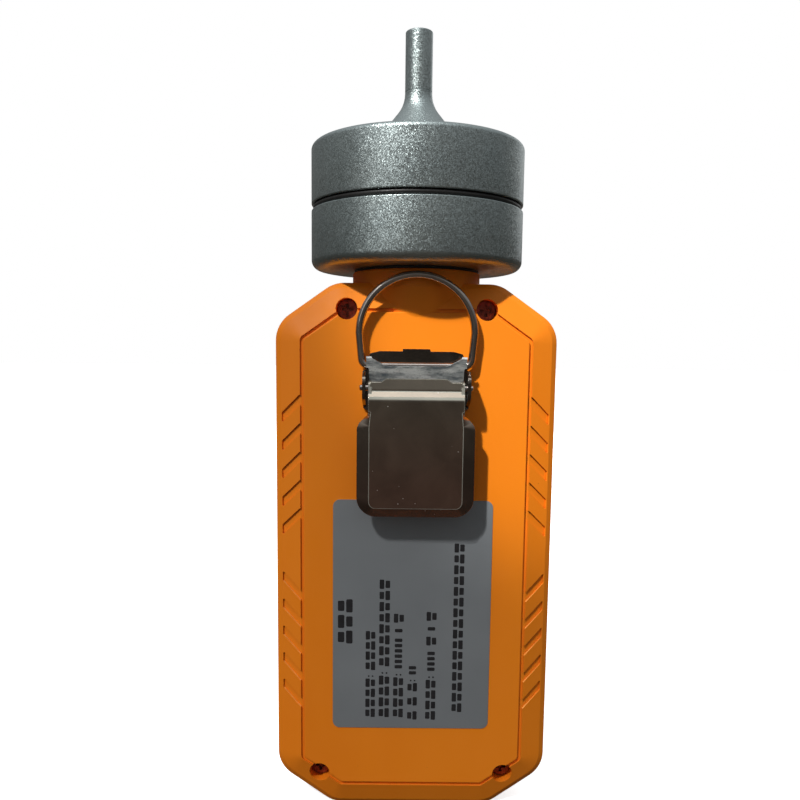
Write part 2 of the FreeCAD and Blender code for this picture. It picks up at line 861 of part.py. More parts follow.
def make_ring_keeper():
    """Bent plate: a foot on the back plate, and a slanted lip with two ears over the ring's bar."""
    body = new_body("ring_keeper", "clip_offset")
    foot_rear = dim.rear_panel - dim.clip_plate
    foot_front = foot_rear - dim.keeper_sheet
    rise, lean = dim.keeper_rise, dim.keeper_lean
    slope = math.hypot(rise, lean)
    step_y = dim.keeper_sheet * rise / slope
    step_z = dim.keeper_sheet * lean / slope
    bend = dim.keeper_bend
    profile = [
        (foot_rear, dim.keeper_low, 0),
        (foot_front, dim.keeper_low, 0),
        (foot_front, bend, 1.0),
        (foot_front - lean, bend + rise, 0.25),
        (foot_front - lean + step_y, bend + rise + step_z, 0.25),
        (foot_rear, bend + step_z - 0.19, 0.3),
    ]
    pad(body, "x", "-keeper_half_width", "keeper_half_width", loop(profile))
    narrow, low, high = dim.keeper_foot_half_width, dim.clip_low, dim.keeper_ear_low
    for side in (-1, 1):
        flank = [(narrow, low, 0), (20, low, 0), (20, high, 0), (narrow, high, 0.4)]
        flank = loop([(side * x, z, radius) for x, z, radius in flank])
        pocket(body, "y", "-30", "rear_panel", flank)
    scoop = [(7.6, 117.5, 3.0), (11.0, 119.4, 0.5), (11.2, 125.0, 0)]
    pocket(body, "y", "-30", "rear_panel", loop(mirrored(scoop)))
    pocket(body, "y", "-18", "rear_panel", circle(0, dim.clip_screw_high, 1.4))


def make_clip_screws():
    """Pan-head screws through the clip; the upper one also holds the ring keeper."""
    lower_face = "rear_panel - clip_plate"
    upper_face = f"{lower_face} - keeper_sheet"
    screws = []
    for place, face in (("clip_screw_low", lower_face), ("clip_screw_high", upper_face)):
        centre = ("clip_offset", place)
        head = rod(f"{place}_head", "y", "2.6", (f"{face} - 1", face), centre)
        shank = rod(f"{place}_shank", "y", "1.2", (face, "-10"), centre)
        z = getattr(dim, place)
        slots = cross_slots(int(z), dim.clip_offset, z, f"{face} - 1.4")
        screws.append(cut(f"{place}_screw", fuse(f"{place}_blank", head, shank), *slots))
    part(group("clip_screw_pair", *screws), "clip_screws")


def make_clip_pin():
    span = ("clip_offset - pin_half_length", "clip_offset + pin_half_length")
    pin = rod("pin", "x", "pin_radius", span, ("pin_y", "pin_z"))
    rounded = doc.addObject("Part::Fillet", "pin_rounded")
    rounded.Base = pin
    doc.recompute()
    ends = [n for n, e in enumerate(pin.Shape.Edges, start=1) if e.Curve.TypeId.endswith("Circle")]
    rounded.Edges = [(n, 0.3, 0.3) for n in ends]
    part(rounded, "clip_pin")


def lever_outline(inset, top):
    half, neck_half = dim.lever_half_width - inset, dim.lever_neck_half - inset
    return loop(
        mirrored(
            [
                (half, dim.lever_low + inset, dim.lever_corner - inset),
                (half, dim.lever_shoulder_low - inset / 2, 3.0),
                (neck_half, dim.lever_shoulder_high - inset / 2, 2.0),
                (neck_half, top, 0),
            ]
        )
    )


def crown_outline(inset, top):
    half = dim.crown_half_width - inset
    return loop(
        mirrored(
            [
                (half, dim.crown_low + inset, 1.6),
                (half, dim.lever_shoulder_low, 3.0),
                (half - 0.15, dim.lever_shoulder_high, 2.0),
                (half - 0.15, top, 0),
            ]
        )
    )


def make_clip_lever():
    """Pressed thumb plate with bevelled margins, a stepped top edge and two cheeks on the pin."""
    body = new_body("clip_lever", "clip_offset")
    rim, rim_end = "lever_front + lever_bevel", "lever_front + lever_bevel + lever_rim"
    top, open_top = dim.lever_plate_top, dim.lever_plate_top + 1
    pad(body, "y", rim, rim_end, lever_outline(0, top))
    loft(body, "y", rim, lever_outline(0, top), "lever_front", crown_outline(0, top))
    inside = lever_outline(dim.lever_sheet * 0.8, open_top)
    pocket(body, "y", rim, rim_end, inside)
    hollow = crown_outline(0.45, open_top)
    under = "lever_front + lever_sheet"
    loft(body, "y", rim, inside, under, hollow, "PartDesign::SubtractiveLoft")
    round_edges(body, "0.35", lies_at("y", dim.lever_front))
    front, back = dim.lever_front, dim.lever_front + dim.lever_sheet
    tab_front, tab_back = front + 1.1, back + 1.1
    knuckle = [
        (front, 106.5, 0),
        (front, 109.6, 2.2),
        (tab_front, 111.5, 0.5),
        (tab_front, 113.7, 0.2),
        (tab_back, 113.7, 0.2),
        (tab_back, 111.2, 1.0),
        (back, 109.3, 1.4),
        (back, 106.5, 0),
    ]
    pad(body, "x", "-lever_neck_half", "lever_neck_half", loop(knuckle))
    tongue = mirrored([(8.6, 113.2, 0), (8.6, 113.65, 0.2), (7.4, 114.5, 0.4)])
    pad(body, "y", str(tab_front), str(tab_back), loop(tongue))
    for side in (-1, 1):
        clip = [(11.8, 111.8, 0), (10.9, 114.0, 0), (12.5, 114.0, 0), (12.5, 111.8, 0)]
        corner = loop([(side * x, z, 0) for x, z, _ in clip])
        pocket(body, "y", "-25", "-21.3", corner)
    cheek = [
        (back - 0.3, 104.0, 0),
        (back - 0.3, 110.4, 0),
        (dim.pin_y - 1.6, 113.9, 1.2),
        (dim.pin_y + 1.8, 113.9, 1.7),
        (dim.pin_y + 1.8, 110.2, 1.5),
    ]
    pad(body, "x", "lever_neck_half - 0.8", "lever_neck_half", loop(cheek))
    pad(body, "x", "-lever_neck_half", "-lever_neck_half + 0.8", loop(cheek))
    bore = circle(dim.pin_y, dim.pin_z, dim.pin_radius + dim.pin_clearance)
    pocket(body, "x", "-lever_neck_half - 1", "lever_neck_half + 1", bore)


def make_d_ring():
    """Closed wire ring: straight bar, two tight corners, legs and a round arch."""
    body = new_body("d_ring")
    foot, leg, arch, corner = (
        dim.ring_leg_foot,
        dim.ring_leg,
        dim.ring_arch_radius,
        dim.ring_corner,
    )
    bar = Vector(foot, 0, 0)
    hip = Vector(arch, leg, 0)
    along = (hip - bar).normalize()
    half = Vector(-1, 0, 0).getAngle(along) / 2
    reach = corner / math.tan(half)
    bisector = (Vector(-1, 0, 0) + along).normalize()
    centre = bar + bisector * (corner / math.sin(half))
    low_tangent = bar + Vector(-reach, 0, 0)
    high_tangent = bar + along * reach

    def flip(point):
        return Vector(-point.x, point.y, 0)

    path = [
        Part.LineSegment(flip(low_tangent), low_tangent),
        arc(centre, low_tangent, high_tangent, bisector * -1),
        Part.LineSegment(high_tangent, hip),
        Part.ArcOfCircle(Part.Circle(Vector(0, leg, 0), Vector(0, 0, 1), arch), 0, math.pi),
        Part.LineSegment(flip(hip), flip(high_tangent)),
        arc(flip(centre), flip(high_tangent), flip(low_tangent), flip(bisector) * -1),
    ]
    pipe(body, path, "x", "0", circle(0, 0, dim.ring_wire))
    body.Placement = Placement(Vector(), Rotation(Vector(1, 0, 0), dim.ring_lean))
    bind(body, "Placement.Base.x", "clip_offset")
    bind(body, "Placement.Base.y", "ring_axis_y")
    bind(body, "Placement.Base.z", "ring_axis_z")


# ---- label and front panel ------------------------------------------------------------------


def make_rating_label():
    body = new_body("rating_label")
    left, right = dim.label_offset - dim.label_width / 2, dim.label_offset + dim.label_width / 2
    high = dim.label_low + dim.label_height
    outline = rectangle(left, dim.label_low, right, high, dim.label_round)
    pad(body, "y", "rear_panel - label_thickness", "rear_panel", outline)


def make_front_overlay():
    body = new_body("front_overlay")
    margin = dim.window_margin
    view = rectangle(
        margin - dim.window_half_width,
        dim.window_low + margin,
        dim.window_half_width - margin,
        dim.window_high - margin,
        1.0,
    )
    openings = [view, lens_outline(0.1)] + [button_outline(x, dim.button_gap) for x in BUTTON_X]
    pad(body, "y", "front_panel - overlay_thickness", "front_panel", overlay_outline(), *openings)


def make_display():
    window = new_body("display_window")
    high = "front_panel - overlay_thickness"
    pad(window, "y", f"{high} - window_thickness", high, window_outline())
    module = new_body("lcd_module")
    half = dim.window_half_width
    face = f"{high} - window_thickness - 0.2"
    frame = rectangle(-half, dim.window_low, half, dim.window_high, 0.5)
    pad(module, "y", "board_rear + board_thickness", face, frame)


def make_alarm_lens():
    lens = new_body("alarm_lens")
    low = "front_panel - overlay_thickness - window_thickness"
    pad(lens, "y", low, "front_panel + lens_proud", lens_outline())
    top = dim.front_panel + dim.lens_proud
    round_edges(lens, "0.35", lies_at("y", top))


def make_buttons():
    """Four keys, each with a flange that keeps it behind the panel."""
    for name, x in zip(BUTTON_NAMES, BUTTON_X):
        key = new_body(name)
        inner = "front_panel - inner_step - 0.1"
        pad(key, "y", inner, "front_panel + button_proud", button_outline(x))
        pad(key, "y", f"{inner} - button_flange", inner, button_outline(x, 1.0))
        top = dim.front_panel + dim.button_proud
        round_edges(key, "0.7", lies_at("y", top))


# ---- inside ---------------------------------------------------------------------------------

BOARD_FACE = "board_rear + board_thickness"


def make_main_board():
    board = block(
        "board_blank",
        ("-board_half_width", "board_half_width"),
        ("board_rear", BOARD_FACE),
        ("board_low", "board_high"),
    )
    holes = []
    for index, (x, z) in enumerate(board_corners()):
        centre = (str(x), str(z))
        span = ("board_rear - 1", f"{BOARD_FACE} + 1")
        holes.append(rod(f"board_hole_{index}", "y", "1.3", span, centre))
    rear = ("board_rear - 1.2", "board_rear + 0.1")
    chips = [
        block("processor", ("-6", "6"), rear, ("60", "72")),
        block("memory", ("10", "17"), rear, ("62", "68")),
        block("charger", ("14", "19"), rear, ("36", "41")),
        block("pump_driver", ("-20", "-14"), rear, ("88", "92")),
    ]
    part(cut("board", fuse("board_with_chips", board, *chips), *holes), "main_board")


def board_corners():
    return [
        (x, z)
        for x in (-dim.board_boss_x, dim.board_boss_x)
        for z in (dim.board_boss_low, dim.board_boss_high)
    ]


def make_board_screws():
    screws = []
    for index, (x, z) in enumerate(board_corners()):
        centre = (str(x), str(z))
        head = rod(f"b_head_{index}", "y", "2.0", ("board_rear - 1.3", "board_rear"), centre)
        shank = rod(f"b_shank_{index}", "y", "1.1", ("board_rear", "screw_end"), centre)
        screws.append(fuse(f"board_screw_{index}", head, shank))
    part(group("b_screws", *screws), "board_screws")


def make_key_switches():
    switches = []
    for index, x in enumerate(BUTTON_X):
        z_span = ("button_z - 3", "button_z + 3")
        span = (f"{x} - 3", f"{x} + 3")
        case = block(f"switch_{index}", span, (BOARD_FACE, f"{BOARD_FACE} + 3"), z_span)
        stem_span = (f"{BOARD_FACE} + 3", f"{BOARD_FACE} + 3.9")
        stem = rod(f"stem_{index}", "y", "1.6", stem_span, (str(x), "button_z"))
        switches.append(fuse(f"key_switch_{index}", case, stem))
    part(group("switches", *switches), "key_switches")


def make_buzzer():
    span = (BOARD_FACE, "front_panel - inner_step - 0.6")
    can = rod("buzzer_can", "y", "6", span, ("0", "grille_z"))
    mouth_span = ("front_panel - inner_step - 1.6", "front_panel")
    mouth = rod("buzzer_mouth", "y", "1.5", mouth_span, ("0", "grille_z"))
    part(cut("buzzer_body", can, mouth), "buzzer")


MOTOR_X, MOTOR_Y = "17", "rear_panel + inner_step + 3.1"


def make_vibration_motor():
    can = rod("vibration_can", "z", "3", ("90", "100"), (MOTOR_X, MOTOR_Y))
    shaft = rod("vibration_shaft", "z", "0.5", ("100", "105.5"), (MOTOR_X, MOTOR_Y))
    part(fuse("vibration", can, shaft), "vibration_motor")
    span = ("100.8", "105")
    disc = rod("weight_disc", "z", "2.7", span, (MOTOR_X, MOTOR_Y))
    half = (f"{MOTOR_X} - 4", f"{MOTOR_X} + 4")
    away = block("weight_cut", half, (f"{MOTOR_Y} + 1", f"{MOTOR_Y} + 4"), span)
    bore = rod("weight_bore", "z", "0.55", span, (MOTOR_X, MOTOR_Y))
    part(cut("weight", disc, away, bore), "vibration_weight")


def make_battery():
    """Cell pack with rounded edges in an open tray behind the panel."""
    low = "rear_panel + inner_step + 0.1"
    half = "battery_half_width + tray_gap"
    tray = block(
        "tray_blank",
        (f"-({half} + tray_wall)", f"{half} + tray_wall"),
        (low, "tray_front"),
        ("battery_low - tray_gap - tray_wall", "battery_high + tray_gap + tray_wall"),
    )
    hollow = block(
        "tray_hollow",
        (f"-({half})", half),
        (f"{low} + tray_wall", "tray_front + 1"),
        ("battery_low - tray_gap", "battery_high + tray_gap"),
    )
    part(cut("tray", tray, hollow), "battery_tray")
    pack = block(
        "pack",
        ("-battery_half_width", "battery_half_width"),
        (f"{low} + tray_wall", "battery_front"),
        ("battery_low", "battery_high"),
    )
    rounded = doc.addObject("Part::Fillet", "pack_rounded")
    rounded.Base = pack
    doc.recompute()
    rounded.Edges = [(n, 1.5, 1.5) for n in range(1, len(pack.Shape.Edges) + 1)]
    part(rounded, "battery_pack")


def make_pump():
    """Diaphragm pump: a block with two ports over its round motor."""
    head = block(
        "head_blank",
        ("pump_left", "pump_right"),
        ("pump_rear", "pump_front"),
        ("pump_low", "pump_high"),
    )
    inlet_span = ("pump_right - 6", "pump_right + 1")
    outlet_span = ("pump_left - 1", "pump_left + 6")
    inlet = rod("head_inlet", "x", "hose_bore", inlet_span, ("0", "hose_low"))
    outlet = rod("head_outlet", "x", "hose_bore", outlet_span, ("exhaust_y", "exhaust_z"))
    part(cut("head", head, inlet, outlet), "pump_head")
    centre = ("(pump_left + pump_right) / 2", "(pump_rear + pump_front) / 2")
    part(rod("pump_can", "z", "6", ("pump_low - 17", "pump_low"), centre), "pump_motor")


def make_hoses():
    """Short tubes: chamber to pump, and pump to the exhaust fitting."""
    bend, down = dim.hose_bend, dim.hose_low
    inlet = new_body("inlet_hose")
    corner = Vector(-bend, down + bend, 0)
    path = [
        Part.LineSegment(Vector(0, dim.stud_end, 0), Vector(0, down + bend, 0)),
        arc(corner, Vector(0, down + bend, 0), Vector(-bend, down, 0), Vector(1, -1, 0)),
        Part.LineSegment(Vector(-bend, down, 0), Vector(dim.pump_right, down, 0)),
    ]
    section = (circle(0, 0, dim.hose_radius), circle(0, 0, dim.hose_bore))
    pipe(inlet, path, "z", "stud_end", *section)
    span = ("-case_width / 2 + wall + 2", "pump_left")
    centre = ("exhaust_y", "exhaust_z")
    tube = rod("outlet_tube", "x", "hose_radius", span, centre)
    bore = rod("outlet_bore", "x", "hose_bore", span, centre)
    part(cut("outlet", tube, bore), "outlet_hose")


def make_exhaust_fitting():
    centre = ("exhaust_y", "exhaust_z")
    barrel = rod("barrel", "x", "2.5", ("-case_width / 2", "-case_width / 2 + wall + 2"), centre)
    inner = "-case_width / 2 + wall"
    flange = rod("flange", "x", "3.8", (inner, f"{inner} + 1"), centre)
    bore = rod("fitting_bore", "x", "1", ("-case_width / 2 - 1", f"{inner} + 3"), centre)
    part(cut("fitting", fuse("fitting_blank", barrel, flange), bore), "exhaust_fitting")


def make_charging_port():
    socket = new_body("charging_socket")
    shell_outline = rectangle(8.0, 33.5, 11.2, 42.5, 1.2)
    mouth = rectangle(8.4, 33.9, 10.8, 42.1, 1.0)
    pad(socket, "x", "25.5", "case_width / 2 - port_depth - 0.1", shell_outline)
    pocket(socket, "x", "27", "case_width / 2", mouth)
    pad(socket, "x", "26", "32", rectangle(9.3, 35.0, 9.9, 41.0))
    flap = new_body("port_cover")
    outer = dim.case_width / 2 - 0.1
    inner = outer - dim.flap_thickness
    low, high = dim.port_low + dim.flap_gap, dim.port_high - dim.flap_gap
    hinge_round = dim.flap_thickness / 2 - 0.01
    section = [
        (inner, low, hinge_round),
        (outer, low, hinge_round),
        (outer, high, 0.4),
        (inner, high, 0.4),
    ]
    pad(flap, "y", "port_rear + flap_gap", "port_front - flap_gap", loop(section))
    bore = circle(flap_axis_x(), flap_axis_z(), dim.flap_pin_radius + 0.06)
    pocket(flap, "y", "port_rear", "port_front", bore)
    pin_centre = (str(flap_axis_x()), str(flap_axis_z()))
    pin_span = ("port_rear - 0.9", "port_front + 0.5")
    part(rod("flap_pin", "y", "flap_pin_radius", pin_span, pin_centre), "port_cover_pin")


for make in (
    make_rear_cover,
    make_front_cover,
    make_case_seal,
    make_case_screws,
    make_neck_gasket,
    make_chamber_base,
    make_chamber_nut,
    make_chamber_cap,
    make_chamber_seal,
    make_filter,
    make_sensors,
    make_clip_base,
    make_ring_keeper,
    make_clip_screws,
    make_clip_pin,
    make_clip_lever,
    make_d_ring,
    make_rating_label,
    make_front_overlay,
    make_display,
    make_alarm_lens,
    make_buttons,
    make_main_board,
    make_board_screws,
    make_key_switches,
    make_buzzer,
    make_vibration_motor,
    make_battery,
    make_pump,
    make_hoses,
    make_exhaust_fitting,
    make_charging_port,
):
    make()
doc.recompute()

for item in doc.Objects:
    if {"Invalid", "Error"} & set(item.State):
        raise RuntimeError(f"{item.Label} did not compute: {item.State}")
os.makedirs("parts", exist_ok=True)
for piece in parts:
    if piece.Shape.isNull() or not piece.Shape.isValid():
        raise RuntimeError(f"{piece.Label} has no valid shape")
for piece in parts:
    piece.Shape.exportStep(f"parts/{piece.Label}.step")
print(len(parts), "pieces written")
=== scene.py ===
import json
import math

import bmesh
import bpy
import numpy as np
from mathutils import Matrix, Vector

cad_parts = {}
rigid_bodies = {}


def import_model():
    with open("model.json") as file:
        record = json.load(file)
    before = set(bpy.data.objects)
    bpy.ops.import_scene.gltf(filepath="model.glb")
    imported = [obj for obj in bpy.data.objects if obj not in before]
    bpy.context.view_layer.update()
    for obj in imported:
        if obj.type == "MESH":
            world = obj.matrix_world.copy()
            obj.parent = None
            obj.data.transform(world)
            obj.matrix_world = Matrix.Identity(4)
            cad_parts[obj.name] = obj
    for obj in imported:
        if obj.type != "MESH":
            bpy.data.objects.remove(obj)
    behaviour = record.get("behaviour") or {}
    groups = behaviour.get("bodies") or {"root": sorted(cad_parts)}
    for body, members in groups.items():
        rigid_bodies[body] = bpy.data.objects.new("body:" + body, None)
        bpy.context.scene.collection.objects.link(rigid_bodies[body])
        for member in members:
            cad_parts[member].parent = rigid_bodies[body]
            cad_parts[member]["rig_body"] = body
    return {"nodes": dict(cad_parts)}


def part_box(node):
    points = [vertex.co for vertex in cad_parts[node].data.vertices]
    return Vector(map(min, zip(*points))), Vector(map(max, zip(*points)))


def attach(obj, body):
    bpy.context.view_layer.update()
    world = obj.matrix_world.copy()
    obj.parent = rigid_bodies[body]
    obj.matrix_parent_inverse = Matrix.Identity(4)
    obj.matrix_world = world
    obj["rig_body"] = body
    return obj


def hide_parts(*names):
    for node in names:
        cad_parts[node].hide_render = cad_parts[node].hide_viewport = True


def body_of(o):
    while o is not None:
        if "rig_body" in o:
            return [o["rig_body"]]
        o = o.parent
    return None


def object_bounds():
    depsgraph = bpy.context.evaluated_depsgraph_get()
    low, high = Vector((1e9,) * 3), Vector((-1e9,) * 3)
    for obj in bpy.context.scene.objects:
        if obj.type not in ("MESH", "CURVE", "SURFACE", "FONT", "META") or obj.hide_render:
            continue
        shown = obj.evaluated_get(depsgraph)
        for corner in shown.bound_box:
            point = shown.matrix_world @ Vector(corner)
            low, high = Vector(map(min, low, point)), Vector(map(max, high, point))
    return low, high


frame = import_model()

# The looks of a portable gas detector. The clip side faces -Y, the display side +Y, and +Z is up.
# Lengths are in metres, unless a docstring or MM beside them says millimetres.

MM = 0.001
CAD_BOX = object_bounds()
SCENE = bpy.context.scene
SEAL_LOW, SEAL_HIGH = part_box("case_seal")
PARTING = SEAL_HIGH.y
CASE_MIDDLE = (SEAL_LOW.z + SEAL_HIGH.z) / 2
KEYS = {
    "power_button": "power_key",
    "down_button": "down_key",
    "up_button": "up_key",
    "enter_button": "enter_key",
}

# ---- materials ------------------------------------------------------------------------------


class Shader:
    """One Principled material with small helpers for its node tree."""

    def __init__(self, name, colour, **sockets):
        self.material = bpy.data.materials.new(name)
        self.material.use_nodes = True
        self.material.diffuse_color = (*colour, 1.0)
        self.tree = self.material.node_tree
        self.tree.nodes.clear()
        output = self.tree.nodes.new("ShaderNodeOutputMaterial")
        self.bsdf = self.tree.nodes.new("ShaderNodeBsdfPrincipled")
        self.tree.links.new(self.bsdf.outputs[0], output.inputs["Surface"])
        self.bsdf.inputs["Base Color"].default_value = (*colour, 1.0)
        for socket, value in sockets.items():
            self.bsdf.inputs[socket.replace("_", " ")].default_value = value
        self.place = self.tree.nodes.new("ShaderNodeTexCoord").outputs["Object"]

    def node(self, kind, inputs=(), **settings):
        """A new shader node with some inputs, each fed by a value or by another node's output."""
        made = self.tree.nodes.new("ShaderNode" + kind)
        for key, value in settings.items():
            setattr(made, key, value)
        for key, value in dict(inputs).items():
            self.feed(value, made.inputs[key])
        return made

    def feed(self, value, socket):
        if isinstance(value, bpy.types.NodeSocket):
            self.tree.links.new(value, socket)
        else:
            socket.default_value = value

    def set(self, socket, value):
        self.feed(value, self.bsdf.inputs[socket])

    def math(self, operation, a, b=0.0, clamp=False):
        return self.node("Math", {0: a, 1: b}, operation=operation, use_clamp=clamp).outputs[0]

    def vector(self, operation, a, b=(0.0, 0.0, 0.0)):
        return self.node("VectorMath", {0: a, 1: b}, operation=operation).outputs[0]

    def axis(self, name, vector=None):
        """The X, Y or Z of a vector, or of the place on the object."""
        return self.node("SeparateXYZ", {"Vector": vector or self.place}).outputs[name]

    def parts(self, colour):
        """The red, green and blue of a colour."""
        return self.node("SeparateColor", {"Color": colour}).outputs

    def scaled(self, x, y, z):
        """Object coordinates stretched along the axes, for streaks."""
        return self.node("Mapping", {"Vector": self.place, "Scale": (x, y, z)}).outputs[0]

    def noise(self, size, detail=2.0, roughness=0.5, vector=None, distortion=0.0):
        """Noise from 0 to 1 with features of a size in metres."""
        made = self.node(
            "TexNoise",
            {
                "Vector": vector or self.place,
                "Scale": 1 / size,
                "Detail": detail,
                "Roughness": roughness,
                "Distortion": distortion,
            },
        )
        return made.outputs["Fac"]

    def patches(self, size, detail=3.0, start=0.3, end=0.7, **settings):
        """Noise stretched to soft patches of 0 and 1."""
        return self.ramp(self.noise(size, detail, **settings), 0.0, 1.0, start, end)

    def cells(self, size):
        """Random cells of a size in metres: each has a colour and a distance from its middle."""
        return self.node("TexVoronoi", {"Vector": self.place, "Scale": 1 / size}).outputs

    def ramp(self, value, low, high, start=0.0, end=1.0):
        """A number that goes from low to high as value goes from start to end."""
        made = self.node(
            "MapRange",
            {"Value": value, "From Min": start, "From Max": end, "To Min": low, "To Max": high},
        )
        return made.outputs[0]

    def blend(self, share, first, second, mode="MIX"):
        """A colour that goes from the first to the second as share goes from 0 to 1."""
        made = self.node("Mix", {0: share}, data_type="RGBA", blend_type=mode)
        for socket, value in ((made.inputs[6], first), (made.inputs[7], second)):
            self.feed((*value, 1.0) if isinstance(value, tuple) else value, socket)
        return made.outputs[2]

    def bump(self, height, depth, strength, edge=0.0):
        """Bump of a height pattern, depth in metres, over edges rounded by a small radius."""
        inputs = {"Height": height, "Distance": depth, "Strength": strength}
        if edge:
            inputs["Normal"] = self.rounded(edge)
        self.set("Normal", self.node("Bump", inputs).outputs[0])

    def rounded(self, radius, samples=4):
        """Normals that turn smoothly over sharp edges."""
        return self.node("Bevel", {"Radius": radius}, samples=samples).outputs[0]


def orange_plastic():
    """Moulded matte plastic: fine spark-eroded grain, faint flow marks, a little dust, painted shade
    in creases and a dark line where the two covers meet."""
    s = Shader("orange_plastic", (0.93, 0.25, 0.01), Roughness=0.5, Specular_IOR_Level=0.25)
    flow = s.patches(0.03, 3.0, 0.35, 0.65, vector=s.scaled(1.0, 1.0, 0.45))
    colour = s.blend(flow, (0.90, 0.232, 0.008), (0.945, 0.258, 0.011))
    grain = s.noise(0.00022, 3.0, 0.65)
    colour = s.blend(s.ramp(grain, 0.0, 0.10, 0.45, 0.8), colour, (0.99, 0.36, 0.04))
    speck = s.ramp(s.cells(0.0042)["Distance"], 1.0, 0.0, 0.022, 0.034)
    rare = s.math("GREATER_THAN", s.noise(0.011, 1.0), 0.63)
    dust = s.math("MULTIPLY", s.math("MULTIPLY", speck, rare), 0.55, clamp=True)
    colour = s.blend(dust, colour, (0.22, 0.06, 0.01))
    # Painted shade: creases that nearby surfaces hide are painted deep red.
    around = s.node("AmbientOcclusion", {"Distance": 0.0006}, samples=8, only_local=True)
    painted_crease_shade = s.ramp(around.outputs["AO"], 0.7, 0.0, 0.25, 0.70)
    from_parting = s.math("ABSOLUTE", s.math("SUBTRACT", s.axis("Y"), PARTING))
    seam = s.ramp(from_parting, 0.8, 0.0, 0.00010, 0.00016)
    s.set("Base Color", s.blend(s.math("MAXIMUM", painted_crease_shade, seam), colour, (0.36, 0.016, 0.001)))
    s.set("Roughness", s.ramp(s.noise(0.006, 3.0), 0.43, 0.56, 0.3, 0.7))
    s.bump(grain, 0.00003, 0.55, edge=0.00016)
    return s.material


def orange_painted_wall(name, dark, light, **sockets):
    """The same plastic painted darker or lighter: painted shade or painted light on the walls of a
    groove or a channel.
    """
    s = Shader(name, light, **sockets)
    s.set("Base Color", s.blend(s.patches(0.0015), dark, light))
    s.bump(s.noise(0.00022, 3.0), 0.00003, 0.6)
    return s.material


def blasted_aluminium():
    """Bead-blasted, clear-anodised aluminium: grains tilted at random, so single grains glint, and
    each grain painted a little paler at random as a painted glint.
    """
    s = Shader("blasted_aluminium", (0.52, 0.55, 0.545), Metallic=1.0, Roughness=0.36)
    grain = s.cells(0.00017)["Color"]
    red, green = s.parts(grain)[:2]
    tint = s.blend(s.patches(0.012), (0.385, 0.455, 0.46), (0.45, 0.52, 0.515))
    # Painted glints: each grain is painted up to 13 % paler at random.
    s.set("Base Color", s.blend(s.ramp(red, 0.0, 0.13), tint, (0.80, 0.84, 0.83)))
    s.set("Roughness", s.ramp(green, 0.29, 0.44))
    tilt = s.vector("SUBTRACT", grain, (0.5, 0.5, 0.5))
    tilt = s.vector("MULTIPLY", tilt, (0.32, 0.32, 0.32))
    s.set("Normal", s.vector("NORMALIZE", s.vector("ADD", s.rounded(0.0002), tilt)))
    return s.material


def thread_metal():
    """Bright turned aluminium with fine tool marks round Z."""
    s = Shader("thread_metal", (0.50, 0.52, 0.515), Metallic=1.0, Roughness=0.3)
    marks = s.noise(0.0004, 2.0, 0.6, vector=s.scaled(0.02, 0.02, 1.0))
    s.set("Base Color", s.blend(s.noise(0.001), (0.42, 0.44, 0.435), (0.55, 0.57, 0.56)))
    s.set("Roughness", s.ramp(marks, 0.24, 0.36, 0.3, 0.7))
    s.bump(marks, 0.00003, 0.5)
    return s.material


def lever_tint_highlight_and_dust(s, colour, rough):
    """Colours of the clip lever: a tint that goes from warm at the bottom to greener at the top,
    painted highlight where the plate curves and along its top, and grains of dust. Returns colour,
    roughness and metallic share."""
    height = s.axis("Z", s.node("TexCoord").outputs["Generated"])
    cast = s.blend(s.ramp(height, 0.0, 1.0, 0.2, 0.8), (1.0, 0.80, 0.76), (0.96, 1.0, 0.96))
    colour = s.blend(1.0, colour, cast, "MULTIPLY")
    # Painted highlight: pale, less metallic plating where the normal turns from the front towards
    # steep, and along the top.
    turned = s.node(
        "VectorTransform", {"Vector": s.rounded(0.0004, 8)},
        vector_type="NORMAL", convert_from="WORLD", convert_to="OBJECT",
    )
    facing = s.axis("Y", turned.outputs[0])
    not_steep = s.ramp(facing, 1.0, 0.0, -0.91, -0.87)
    not_flat = s.ramp(facing, 0.0, 1.0, -0.992, -0.965)
    bends = s.math("MULTIPLY", s.math("MULTIPLY", not_steep, not_flat), 0.8)
    painted_highlight = s.math("MAXIMUM", bends, s.ramp(height, 0.0, 0.22, 0.915, 0.93))
    colour = s.blend(painted_highlight, colour, (0.46, 0.48, 0.42))
    grit = s.cells(0.0013)
    near = s.ramp(grit["Distance"], 1.0, 0.0, 0.05, 0.13)
    patch = s.patches(0.006, 2.0, 0.53, 0.62, roughness=0.6)
    pick = s.math("GREATER_THAN", s.parts(grit["Color"])[0], 0.62)
    dust = s.math("MULTIPLY", s.math("MULTIPLY", near, patch), pick, clamp=True)
    colour = s.blend(dust, colour, (0.75, 0.74, 0.72))
    rough = s.math("ADD", rough, s.math("MULTIPLY", dust, 0.6), clamp=True)
    metallic = s.ramp(painted_highlight, 1.0, 0.35)
    metallic = s.math("SUBTRACT", metallic, s.math("MULTIPLY", dust, 0.8), clamp=True)
    return colour, rough, metallic


def black_nickel(name, dark, light, tint_highlight_and_dust=False):
    """Dark nickel plate: soft polish, handling smears and hair scratches."""
    s = Shader(name, light, Metallic=1.0, Roughness=0.16)
    smear = s.patches(0.009, 4.0, 0.35, 0.68, roughness=0.6, distortion=0.6)
    hair = s.noise(0.0004, 2.0, 0.7, vector=s.scaled(1.0, 1.0, 0.05))
    colour, metallic = s.blend(smear, dark, light), 1.0
    rough = s.math("ADD", s.ramp(smear, 0.11, 0.20), s.ramp(hair, 0.0, 0.05, 0.5, 0.8))
    # The lever also gets its tint, painted highlight and dust.
    if tint_highlight_and_dust:
        colour, rough, metallic = lever_tint_highlight_and_dust(s, colour, rough)
    s.set("Metallic", metallic)
    s.set("Base Color", colour)
    s.set("Roughness", rough)
    s.bump(s.noise(0.0016, 4.0, 0.62), 0.00003, 0.35, edge=0.00014)
    return s.material


